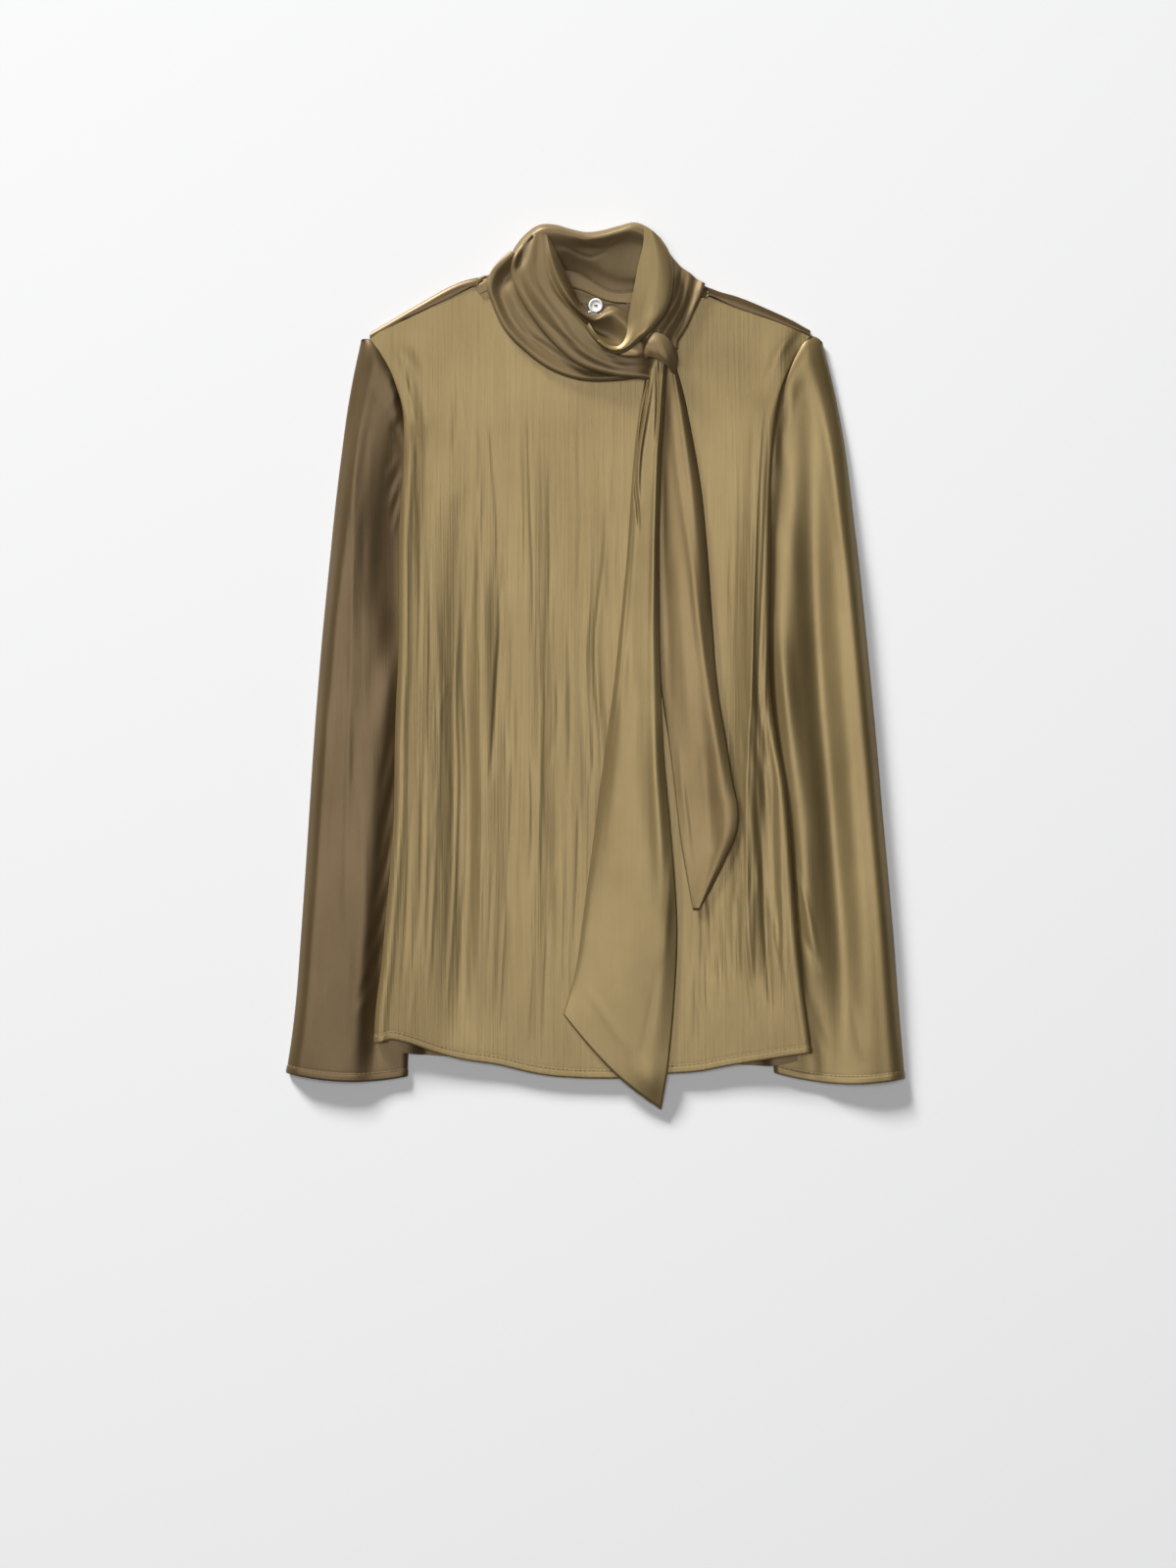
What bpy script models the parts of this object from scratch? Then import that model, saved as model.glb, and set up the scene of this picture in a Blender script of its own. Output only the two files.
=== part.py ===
"""Long-sleeve satin blouse with a scarf collar, laid flat on its back.

The garment lies on the plane z = 0, its face up: +X is to the right, +Y towards the collar and +Z up.
The sleeves are tucked under the sides of the body. Sides are named as worn, so the right sleeve is at -X.
Every size below is in millimetres and becomes metres when a mesh is made.
"""

import bpy
import numpy as np

MM = 0.001

# Cloth
CLOTH = 1.2  # one layer of satin
TIE_CLOTH = 1.6  # the scarf, which is cut double
SEAM_GAP = 0.4  # between pieces that are sewn edge to edge
LAY_GAP = 0.5  # between a piece and what it lies on
TUCK_HEIGHT = 5.2  # top of a sleeve where the body lies on it
BODY_SLOPE, TIE_SLOPE, COLLAR_SLOPE = 0.4, 0.2, 1.5  # how steeply cloth comes down from what it lies on

# Colours of the finishes: linear red, green, blue, then roughness
SATIN = (0.245, 0.190, 0.098, 0.42)
PEARL = (0.86, 0.85, 0.82, 0.25)

# How finely the cloth is divided
SLEEVE_STATIONS = 17
SLEEVE_STEPS = 11  # across one layer of the sleeve
BODY_ROWS = np.concatenate([np.linspace(0, 0.7, 14), np.linspace(0.733, 1, 13)])  # places from hem to top edge
HEM_ROW = 0.012  # one more row on the front, close to the hem
TURN_STEPS = 3  # round a folded edge

# The armhole seam in plan, from the shoulder tip to the underarm
ARMHOLE_RIGHT = [
    (-203, 283), (-196, 281.5), (-187, 271), (-179, 257), (-173, 241), (-169, 228), (-166.5, 216),
    (-160, 190), (-150, 158), (-134, 118),
]
ARMHOLE_LEFT = [
    (197, 280), (191, 284), (184, 281.5), (176.5, 271), (168, 257), (164, 247), (156.5, 228),
    (151, 201), (143.5, 165), (131, 118),
]

# Each row is one section of a sleeve, from the cuff to the armhole: its outer and inner edge in plan, how far
# the section bows towards the cuff, how much of the armhole's curve it takes, and the height of the upper
# layer at HEIGHT_PLACES across it.
HEIGHT_PLACES = (0.0, 0.14, 0.34, 0.52, 0.66, 1.0)
SLEEVE_RIGHT = [
    dict(outer=(-268, -352), inner=(-163, -355), sag=6, armhole=0.0, heights=(5, 10, 11, 8, 5, 5)),
    dict(outer=(-261, -304), inner=(-161, -306), sag=3, armhole=0.0, heights=(5, 12, 13, 9, 5, 5)),
    dict(outer=(-255, -230), inner=(-156, -230), sag=0, armhole=0.0, heights=(5, 13, 14, 9, 5, 5)),
    dict(outer=(-249, -141), inner=(-147, -141), sag=0, armhole=0.0, heights=(5, 14, 15, 10, 5, 5)),
    dict(outer=(-243, -51), inner=(-137, -51), sag=0, armhole=0.0, heights=(5, 15, 15, 9, 5, 5)),
    dict(outer=(-236, 34), inner=(-125, 34), sag=0, armhole=0.0, heights=(5, 16, 14, 8, 5, 5)),
    dict(outer=(-231, 84), inner=(-128, 62), sag=0, armhole=0.1, heights=(5, 16, 13, 7, 5, 5)),
    dict(outer=(-226, 134), inner=(-130, 83), sag=0, armhole=0.3, heights=(5, 16, 12, 6, 5, 5)),
    dict(outer=(-220, 184), inner=(-132, 98), sag=0, armhole=0.5, heights=(5, 15, 11, 5, 5, 5)),
    dict(outer=(-213, 234), inner=(-133, 110), sag=0, armhole=0.75, heights=(5, 13, 10, 5, 5, 5)),
    dict(outer=(-203, 283), inner=(-134, 118), sag=0, armhole=1.0, heights=(5, 9.4, 9.4, 5.4, 5, 5)),
]
SLEEVE_LEFT = [
    dict(outer=(268, -357), inner=(155, -352), sag=7, armhole=0.0, heights=(5, 11, 12, 9, 5, 5)),
    dict(outer=(263, -298), inner=(154, -304), sag=3, armhole=0.0, heights=(5, 14, 14, 11, 5, 5)),
    dict(outer=(258, -230), inner=(151, -230), sag=0, armhole=0.0, heights=(5, 15, 14, 12, 5, 5)),
    dict(outer=(250, -141), inner=(144, -141), sag=0, armhole=0.0, heights=(5, 16, 14, 13, 5, 5)),
    dict(outer=(243, -60), inner=(134, -56), sag=0, armhole=0.0, heights=(5, 16, 14, 12, 5, 5)),
    dict(outer=(234, 34), inner=(126, 34), sag=0, armhole=0.0, heights=(5, 16, 14, 10, 5, 5)),
    dict(outer=(229, 84), inner=(128, 62), sag=0, armhole=0.1, heights=(5, 16, 14, 8, 5, 5)),
    dict(outer=(223, 134), inner=(131, 83), sag=0, armhole=0.3, heights=(5, 16, 13, 6, 5, 5)),
    dict(outer=(217, 184), inner=(133, 98), sag=0, armhole=0.5, heights=(5, 15, 11, 5, 5, 5)),
    dict(outer=(208, 234), inner=(131, 110), sag=0, armhole=0.75, heights=(5, 13, 10, 5, 5, 5)),
    dict(outer=(197, 280), inner=(131, 118), sag=0, armhole=1.0, heights=(5, 9.4, 9.2, 5, 5, 5)),
]

# The side edges of the body: the fold below the armhole, then the armhole seam. "turned" is how far the front
# is turned under at the fold, to the side seam or to the hidden part of the armhole.
SIDE_RIGHT = [
    dict(y=-345, edge=-191, turned=12), dict(y=-316, edge=-191, turned=12), dict(y=-260, edge=-185, turned=12),
    dict(y=-215, edge=-181, turned=12), dict(y=-171, edge=-177, turned=12), dict(y=-125, edge=-174, turned=13),
    dict(y=-51, edge=-173, turned=16), dict(y=23, edge=-170, turned=24), dict(y=102, edge=-170, turned=36.5),
    dict(y=118, edge=-169.5, turned=37.5), dict(y=158, edge=-167, turned=18), dict(y=190, edge=-165.5, turned=6),
    dict(y=216, edge=-166, turned=0), dict(y=228, edge=-168, turned=0), dict(y=241, edge=-172, turned=0),
    dict(y=257, edge=-178, turned=0), dict(y=271, edge=-186, turned=0), dict(y=281, edge=-194.5, turned=0),
    dict(y=300, edge=-198, turned=0),
]
SIDE_LEFT = [
    dict(y=-345, edge=188, turned=12), dict(y=-325, edge=186, turned=12), dict(y=-274, edge=179, turned=12),
    dict(y=-215, edge=173, turned=12), dict(y=-171, edge=170, turned=12), dict(y=-110, edge=165, turned=12),
    dict(y=-36, edge=153, turned=14), dict(y=15, edge=150, turned=16.5), dict(y=102, edge=151, turned=21.5),
    dict(y=118, edge=151, turned=22), dict(y=152, edge=151.5, turned=12), dict(y=201, edge=155, turned=4.5),
    dict(y=228, edge=158.5, turned=2), dict(y=247, edge=163, turned=0), dict(y=257, edge=167, turned=0),
    dict(y=271, edge=174, turned=0), dict(y=281, edge=180.5, turned=0), dict(y=284, edge=185, turned=0),
    dict(y=300, edge=190, turned=0),
]
UNDERARM_Y = 118
TURN_STARTS = {"right": 212, "left": 236}  # the fold is turned under below these heights

# Hems and upper edges in plan
FRONT_HEM = [
    (-195, -326), (-190, -326), (-177, -323), (-159, -327), (-136, -335), (-112, -341), (-85, -345), (-55, -352),
    (-25, -356), (11, -357), (36, -356), (61, -353), (88, -351), (114, -346), (138, -342), (163, -338), (190, -334),
]
BACK_HEM = [(-195, -328), (-181, -331), (-164, -335), (-91, -340), (0, -343), (79, -343), (150, -346), (195, -336)]
FRONT_TOP = [
    (-200, 279), (-195, 284), (-187, 289.5), (-164, 300.5), (-142, 311), (-120, 321), (-101, 329.5), (-92, 327),
    (-84, 319), (-77, 300), (-58, 280), (-30, 264), (0, 258), (30, 262), (60, 283), (78, 306), (86, 316), (92, 320),
    (121, 310.5), (153, 299.5), (174, 291), (186, 285.5), (194, 280),
]
BACK_TOP = [
    (-204, 284), (-187, 294), (-151, 315), (-119, 332), (-101, 337), (-95, 335), (-60, 326), (-20, 320), (11, 318),
    (50, 322), (88, 330), (95, 329), (103, 326), (121, 321), (153, 308), (176, 297), (189, 288), (196, 279),
]
NECK_RIGHT, NECK_LEFT = -101.0, 92.0  # x of the neck points, where the shoulders end

# Columns of the two panels, by their x at the top
SHOULDER_COLUMNS_RIGHT = (-197, -187, -175, -163, -150, -137, -125, -113, -101)
SHOULDER_COLUMNS_LEFT = (92, 104, 117, 130, 142, 152, 161, 169, 177, 185)
FRONT_COLUMNS = SHOULDER_COLUMNS_RIGHT + (-91, -80, -62, -42, -21, 0, 20, 40, 58, 72, 82) + SHOULDER_COLUMNS_LEFT
BACK_COLUMNS = SHOULDER_COLUMNS_RIGHT + (-66, -33, 0, 30, 61) + SHOULDER_COLUMNS_LEFT

# Height of the front's face at five places across it
FRONT_PLACES = (0.0, 0.22, 0.5, 0.78, 1.0)
FRONT_HEIGHTS = [
    dict(y=-357, heights=(13.5, 7.6, 6.2, 7.6, 13.5)),
    dict(y=-300, heights=(14.5, 8.0, 6.4, 8.0, 14.5)),
    dict(y=-100, heights=(15.0, 8.4, 6.4, 9.0, 15.0)),
    dict(y=100, heights=(15.0, 8.8, 6.6, 9.0, 15.0)),
    dict(y=190, heights=(13.0, 9.6, 8.0, 10.0, 14.0)),
    dict(y=216, heights=(9.8, 10.4, 9.5, 10.5, 13.0)),
    dict(y=250, heights=(9.6, 10.8, 11.5, 10.8, 9.8)),
    dict(y=285, heights=(7.6, 10.0, 12.0, 10.0, 7.6)),
    dict(y=330, heights=(7.6, 9.0, 11.0, 9.0, 7.6)),
]
# Height of the shoulder fold, from the neck point to the shoulder tip
SHOULDER_PLACES = (90, 150, 200)
SHOULDER_HEIGHTS = (10.5, 9.0, 6.4)

# Folds of the front: where each starts and ends, half its width, its height over the face (a groove is below 0),
# and how steep its +X side is against its -X side.
FRONT_FOLDS = [
    dict(start=(-114, 150), end=(-117, -330), width=15, height=-2.6, steep=0.7),
    dict(start=(-96, 120), end=(-94, -300), width=12, height=1.6, steep=1.0),
    dict(start=(-84, 90), end=(-82, -90), width=7, height=-1.5, steep=1.0),
    dict(start=(-60, 200), end=(-52, -310), width=14, height=1.2, steep=1.0),
    dict(start=(-30, 160), end=(-26, -250), width=12, height=-1.2, steep=1.0),
    dict(start=(3, 130), end=(-2, -200), width=12, height=-2.2, steep=1.0),
    dict(start=(144, 230), end=(130, -270), width=12, height=3.2, steep=0.5),
    dict(start=(150, 60), end=(152, -300), width=9, height=-2.6, steep=1.2),
    dict(start=(112, 120), end=(104, -260), width=14, height=-1.4, steep=1.0),
    dict(start=(168, 300), end=(160, 215), width=13, height=3.6, steep=0.45),
    dict(start=(-168, 290), end=(-158, 180), width=9, height=1.6, steep=1.0),
    dict(start=(-150, 290), end=(-146, 60), width=12, height=-1.2, steep=1.0),
]
SLEEVE_RIGHT_FOLDS = [
    dict(start=(-206, 270), end=(-213, -200), width=9, height=1.6, steep=1.0),
    dict(start=(-190, 240), end=(-183, -260), width=11, height=-2.0, steep=1.0),
    dict(start=(-205, -160), end=(-190, -350), width=14, height=1.8, steep=1.0),
]
SLEEVE_LEFT_FOLDS = [
    dict(start=(184, 290), end=(208, -330), width=17, height=-5.0, steep=1.0),
    dict(start=(222, 230), end=(240, -330), width=17, height=1.6, steep=1.0),
    dict(start=(168, 150), end=(196, -300), width=13, height=2.2, steep=1.0),
]

# The two ends of the scarf. Each row is a section across one end, from the knot down: its left and right edge in
# plan, and how high the left edge, the crown, the middle and the right edge rise over what they lie on.
TIE_PLACES = (0.0, 0.3, 0.62, 1.0)
TIE_LONG = [
    dict(left=(47, 272), right=(62, 268), rise=(2.0, 6.0, 5.0, 2.0)),
    dict(left=(45, 258), right=(61, 254), rise=(1.0, 8.0, 7.0, 1.0)),
    dict(left=(41.5, 238), right=(60, 236), rise=(0.5, 8.5, 7.5, 0.6)),
    dict(left=(38, 218), right=(59, 216), rise=(0.4, 8.0, 7.5, 0.6)),
    dict(left=(34, 186), right=(57, 184), rise=(0.3, 6.0, 8.0, 0.6)),
    dict(left=(31, 150), right=(56, 148), rise=(0.3, 5.0, 8.0, 0.6)),
    dict(left=(28, 105), right=(55, 100), rise=(0.3, 5.0, 7.5, 0.6)),
    dict(left=(23, 50), right=(55, 42), rise=(0.3, 5.0, 7.0, 0.6)),
    dict(left=(16, -17), right=(57, -28), rise=(0.3, 4.5, 6.5, 0.5)),
    dict(left=(8, -76), right=(60.5, -90), rise=(0.3, 4.0, 6.0, 0.5)),
    dict(left=(-1, -146), right=(67, -162), rise=(0.3, 3.5, 5.5, 0.5)),
    dict(left=(-10, -212), right=(71, -232), rise=(0.3, 2.8, 4.0, 0.5)),
    dict(left=(-16, -258), right=(68, -294), rise=(0.3, 2.2, 3.0, 0.6)),
    dict(left=(-22, -282), right=(63, -346), rise=(0.4, 1.6, 2.2, 0.8)),
    dict(left=(-28, -301), right=(57, -384), rise=(0.6, 1.2, 1.5, 1.2)),
]
TIE_SHORT = [
    dict(left=(58, 262), right=(69, 262), rise=(0.6, 3.0, 3.0, 0.8)),
    dict(left=(55, 236), right=(76, 237), rise=(0.2, 1.5, 4.0, 0.6)),
    dict(left=(52, 200), right=(84, 198), rise=(0.2, 1.0, 5.0, 0.6)),
    dict(left=(51, 150), right=(92, 150), rise=(0.2, 0.8, 5.0, 0.6)),
    dict(left=(51, 95), right=(97, 98), rise=(0.2, 0.8, 5.0, 0.6)),
    dict(left=(51, 40), right=(101, 42), rise=(0.2, 0.8, 5.0, 0.6)),
    dict(left=(56, -14), right=(105, -12), rise=(0.3, 1.5, 5.0, 0.6)),
    dict(left=(63, -62), right=(112, -58), rise=(1.2, 3.0, 5.0, 0.6)),
    dict(left=(68.5, -106), right=(119, -101), rise=(1.6, 4.5, 4.5, 0.6)),
    dict(left=(73, -146), right=(124, -132), rise=(1.6, 4.0, 3.5, 0.8)),
    dict(left=(78.5, -180), right=(108, -177), rise=(1.4, 3.0, 2.5, 0.8)),
    dict(left=(84.5, -211), right=(90, -211), rise=(1.0, 1.4, 1.4, 0.8)),
]
TIE_LONG_SAG = 8.0  # how far the long end's cut edge bows out

# The collar: each stretch is a loft across these lines, which run the same way along its edges, ridges and
# grooves. A rim is an outer edge, whose cloth is turned under.
ROLL_RADIUS = 2.4
ROLL_RETURN = 3.0
COLLAR_BACK = dict(
    neck_seam=[(-82, 337, 0.4), (-56, 330, 0.4), (-20, 324, 0.4), (11, 322, 0.4), (46, 326, 0.4), (74, 334, 0.4)],
    outside=[(-76, 341, 0.0), (-54, 350, 0.0), (-22, 352, 0.0), (12, 353, 0.0), (40, 352, 0.0), (68, 339, 0.0)],
    turn=[(-72, 344, 1.5), (-57, 367, 1.5), (-24, 373, 1.5), (6, 372, 1.5), (38, 375, 1.5), (63, 345, 1.5)],
    edge=[(-74, 347, 6), (-62, 374, 7), (-46, 383, 7.5), (-22, 379, 7), (-4, 376, 7), (18, 381, 7), (38, 384, 7),
          (50, 377, 7), (66, 351, 6.5)],
    lip=[(-69, 345, 11), (-58, 369, 14), (-45, 378, 15), (-22, 374.5, 14), (-4, 371, 14), (18, 376, 14.5),
         (37, 379, 14), (47, 372, 13), (62, 348, 11)],
    hollow=[(-62, 342, 8.5), (-48, 360, 9), (-20, 362, 8.5), (6, 364, 8.5), (28, 367, 9), (43, 363, 9), (56, 345, 9)],
    ridge=[(-57, 339, 11), (-40, 354, 16), (-22, 356, 17), (-3, 349, 17.5), (10, 342, 17), (22, 338, 15),
           (38, 337, 13), (53, 340, 12)],
    ridge_foot=[(-55, 335, 8), (-39, 346, 10), (-18, 345, 11), (-3, 337, 11.5), (7, 330, 11), (20, 327, 9.5),
                (36, 328, 8.5), (52, 334, 8)],
)
COLLAR_UNDER = dict(
    rim=[(-73, 359, 15), (-86, 347, 16), (-94, 333, 17.5), (-89, 312, 17.5), (-79, 291, 18), (-61, 272, 18),
         (-39, 256, 18.5), (-13, 247, 18.5), (14, 246, 18.5), (40, 248, 18.5)],
    groove=[(-65, 353, 12), (-75, 340, 13), (-81, 325, 14.5), (-75, 306, 15), (-64, 290, 15.5), (-47, 278, 16),
            (-30, 266, 16.5), (-9, 257, 16.5), (14, 254.5, 16.5), (39, 256, 16.5)],
    inner_fold=[(-61, 351, 12.5), (-68, 338, 14.5), (-72, 324, 16.5), (-66, 307, 17), (-55, 292, 17),
                (-41, 281, 17.5), (-25, 270, 17.5), (-7, 262, 17.5), (14, 259.5, 17), (38, 261, 17)],
    inner=[(-56, 349, 12), (-59, 336, 14), (-60, 322, 14.5), (-53, 308, 15), (-42, 296, 15.5), (-29, 286, 15.5),
           (-15, 277, 16), (0, 269, 16), (15, 266, 16), (37, 266, 16)],
)
COLLAR_ROLL = dict(
    rim=[(-57, 372, 21), (-69, 358, 21), (-73, 339, 22.5), (-66, 320, 23.5), (-53, 299, 24.5), (-36, 278, 25),
         (-14, 259.5, 25), (12, 251, 24.5), (41, 247.5, 24.5)],
    groove=[(-54, 372, 20.5), (-63, 355, 20.5), (-67, 338, 21.5), (-60, 322, 23), (-46, 303, 24.5), (-30, 283, 25),
            (-10, 265, 25), (12, 256, 24.5), (41, 252, 24)],
    hill=[(-51.5, 373, 21), (-56, 355, 24), (-59, 338, 26), (-50, 320, 28.5), (-37, 302, 30), (-24, 285, 30),
          (-8, 270, 29), (13, 260, 26.5), (41, 256.5, 24.5)],
    valley=[(-49, 373.5, 21), (-50, 353, 22.5), (-51, 336, 23.5), (-41, 319, 24.5), (-28, 302, 25), (-17, 286, 25),
            (-2, 273, 25), (15, 264, 24.5), (41, 261, 24)],
    second=[(-46.5, 373.5, 21), (-45, 352, 24.5), (-44, 336, 26), (-34, 319, 28), (-19, 303, 28.5), (-6, 290, 28),
            (7, 277, 27.5), (20, 268.5, 25.5), (41, 265.5, 24)],
    pouch=[(-44, 373, 21), (-41, 352, 25), (-38, 336, 26), (-28, 319, 25.5), (-11, 304, 21), (3, 293, 17),
           (15, 283, 16), (26, 276, 17.5), (41, 270, 21.5)],
    ridge=[(-41.5, 372, 21), (-38, 354, 26), (-33, 339, 27.5), (-23, 323, 28.5), (-8, 310, 27), (5, 305.5, 24),
           (17, 302.5, 21.5), (27, 294, 20.5), (41, 280, 21)],
    inside=[(-39, 370.5, 18.5), (-34, 357, 21.5), (-27, 343, 20.5), (-18, 329, 18.5), (-6, 316.5, 16.5),
            (6, 311, 15.5), (19, 308.5, 15), (30, 300, 16), (41, 286, 17)],
)
COLLAR_FLAP = dict(
    rim=[(57, 369, 21.5), (64.5, 356, 23.5), (67, 340, 26), (66, 322, 29), (61, 306, 31), (52, 293, 32),
         (38, 280.5, 33), (24, 271.5, 33.5), (12, 269, 33.5)],
    middle=[(49.5, 375, 22), (54, 358, 25), (54, 342, 28), (51, 326, 30.5), (47, 311, 32), (42, 299, 32),
            (34, 288, 33), (22, 277.5, 34), (11, 275, 34)],
    inner=[(42, 380, 21), (41, 363, 22.5), (37, 347, 24.5), (34, 330, 26), (31, 315, 27), (29, 302, 28),
           (27, 292, 29.5), (20.5, 286, 31), (10.5, 284, 31.5)],
)
COLLAR_END = dict(
    rim=[(95, 331, 15), (91, 318, 16.5), (84, 303, 18), (78, 290, 19), (72, 280, 20.5), (71, 273, 21.5)],
    groove=[(88, 335, 12.5), (85, 322, 14.5), (79, 307, 16.5), (72, 294, 18.5), (67, 285, 20), (66, 277, 20.5)],
    ridge=[(82, 340, 14), (79, 325, 17), (74, 310, 20), (66, 297, 22.5), (60, 287, 24), (59, 280, 24)],
    groove_2=[(76, 344, 12), (74, 330, 14), (69, 315, 17), (60, 300, 20), (54, 290, 22), (52, 282, 22.5)],
    ridge_2=[(71, 347, 13), (69, 333, 16), (64, 318, 19.5), (55, 303, 22.5), (48, 292, 24), (45, 283, 24)],
    inner=[(66, 351, 10), (62, 336, 12), (57, 321, 15.5), (49, 306, 19), (41, 294, 21), (38, 282, 22)],
)
KNOT = dict(
    upper=[(42, 273, 25), (44, 279, 29), (51, 283, 31.5), (59, 281, 32), (66, 277, 29), (70, 272, 24)],
    crown=[(41, 270, 26), (44, 275, 32), (51, 277, 35), (60, 273, 35.5), (67.5, 268, 31), (71, 264, 25)],
    lower=[(42, 264, 26), (44.5, 268, 31), (51, 268.5, 34), (59, 264, 34), (65, 258.5, 30), (68.5, 255, 25)],
)
NECK_BINDING = [
    (-30, 328.5, 4.2), (-22, 329, 4.6), (-10, 326, 5.0), (2, 320.5, 5.2), (11, 317, 4.6), (27, 315.5, 2.7),
]
BINDING_DIAMETER = 2.2

# The two buttons of the back opening
BUTTON_DIAMETER = 12.4
BUTTON_THICKNESS = 2.0
BUTTONS = {"button_upper": (0.3, 312.6, 7.2), "button_lower": (-3.2, 302.5, 3.4)}
BUTTON_TILT = 0.12  # radians, towards the collar


def smooth(keys, values, at):
    """Values between the keys, on a curve through them that doesn't overshoot."""
    keys, values, at = np.asarray(keys, float), np.asarray(values, float), np.asarray(at, float)
    step = np.diff(keys)
    slope = np.diff(values) / step
    tangent = np.zeros_like(values)
    same_way = slope[:-1] * slope[1:] > 0
    both = np.where(same_way, slope[:-1] + slope[1:], 1.0)
    tangent[1:-1] = np.where(same_way, 2 * slope[:-1] * slope[1:] / both, 0.0)
    tangent[0], tangent[-1] = slope[0], slope[-1]
    k = np.clip(np.searchsorted(keys, at, side="right") - 1, 0, len(step) - 1)
    t = np.clip((at - keys[k]) / step[k], 0.0, 1.0)
    value = values[k] * (1 + 2 * t) * (1 - t) ** 2 + values[k + 1] * t**2 * (3 - 2 * t)
    return value + step[k] * (tangent[k] * t * (1 - t) ** 2 - tangent[k + 1] * t**2 * (1 - t))


def through(points, places):
    """Points at places 0 to 1 along a smooth curve through the given points."""
    points = np.asarray(points, float)
    length = np.linalg.norm(np.diff(points[:, :2], axis=0), axis=1)
    keys = np.concatenate([[0.0], np.cumsum(length)])
    tangent = np.gradient(points, keys, axis=0)
    at = np.asarray(places, float) * keys[-1]
    k = np.clip(np.searchsorted(keys, at, side="right") - 1, 0, len(keys) - 2)
    step = (keys[k + 1] - keys[k])[:, None]
    t = (at - keys[k])[:, None] / step
    value = points[k] * (1 + 2 * t) * (1 - t) ** 2 + points[k + 1] * t**2 * (3 - 2 * t)
    return value + step * (tangent[k] * t * (1 - t) ** 2 - tangent[k + 1] * t**2 * (1 - t))


def soft_step(low, high, value):
    t = np.clip((value - low) / (high - low), 0.0, 1.0)
    return t * t * (3 - 2 * t)


def column(table, name):
    return [row[name] for row in table]


def fold_height(folds, x, y):
    """How far the folds raise the cloth at each place."""
    raised = np.zeros_like(x)
    for fold in folds:
        (x0, y0), (x1, y1) = fold["start"], fold["end"]
        along = np.clip((y - y0) / (y1 - y0), 0.0, 1.0)
        off = (x - (x0 + along * (x1 - x0))) / fold["width"]
        off = np.where(off > 0, off / fold["steep"], off)
        ends = np.sin(np.pi * np.clip((y - y0) / (y1 - y0), 0.0, 1.0)) ** 0.5
        raised += fold["height"] * np.exp(-(off**2)) * ends
    return raised


class Pile:
    """How high the cloth that is already laid reaches, on a plan grid of small cells."""

    CELL = 2.0
    LOW, HIGH = (-300.0, -410.0), (300.0, 410.0)
    LAP = 2  # cells by which a height is widened
    REACH = 40  # cells over which cloth slopes down from a height

    def __init__(self, slope):
        shape = [int((h - l) / self.CELL) + 1 for l, h in zip(self.LOW, self.HIGH)]
        self.top = np.zeros(shape)
        self.slope = slope
        self.draped = self.top

    def lay(self, grid, where=None):
        """Adds a grid of points, or the ones where a condition on x and y holds."""
        fine = self.between(self.between(grid), axis=1)
        points = fine.reshape(-1, 3)
        if where is not None:
            points = points[where(points[:, 0], points[:, 1])]
        cell = [np.round((points[:, i] - self.LOW[i]) / self.CELL).astype(int) for i in (0, 1)]
        np.maximum.at(self.top, tuple(cell), points[:, 2])
        self.drape()

    @staticmethod
    def between(grid, axis=0, count=8):
        grid = np.swapaxes(grid, 0, axis)
        t = np.linspace(0, 1, count, endpoint=False)[None, :, None, None]
        fine = (grid[:-1, None] * (1 - t) + grid[1:, None] * t).reshape(-1, *grid.shape[1:])
        return np.swapaxes(np.concatenate([fine, grid[-1:]]), 0, axis)

    def drape(self):
        """Cloth laid over the pile comes down from each height at the slope."""
        field = self.top
        for step in range(self.REACH):
            fall = 0.0 if step < self.LAP else self.slope * self.CELL
            for axis in (0, 1):
                beside = np.maximum(np.roll(field, 1, axis), np.roll(field, -1, axis))
                field = np.maximum(field, beside - fall)
        self.draped = field

    def height(self, x, y):
        """How high cloth laid over the pile is at each place."""
        place = [(np.asarray(v) - low) / self.CELL for v, low in zip((x, y), self.LOW)]
        k = [np.clip(p.astype(int), 0, n - 2) for p, n in zip(place, self.top.shape)]
        tx, ty = place[0] - k[0], place[1] - k[1]
        low = self.draped[k[0], k[1]] * (1 - ty) + self.draped[k[0], k[1] + 1] * ty
        high = self.draped[k[0] + 1, k[1]] * (1 - ty) + self.draped[k[0] + 1, k[1] + 1] * ty
        return low * (1 - tx) + high * tx


def finish(name, red, green, blue, roughness):
    material = bpy.data.materials.new(name)
    material.use_nodes = True
    shader = material.node_tree.nodes["Principled BSDF"]
    shader.inputs["Base Color"].default_value = (red, green, blue, 1)
    shader.inputs["Roughness"].default_value = roughness
    return material


def points_up(grid, faces):
    """True if the faces round the highest point look up."""
    flat = grid.reshape(-1, 3)
    highest = int(np.argmax(flat[:, 2]))
    up = 0.0
    for face in faces:
        if highest in face:
            a, b, c, d = flat[list(face)]
            up += np.cross(c - a, d - b)[2]
    return up > 0


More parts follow.
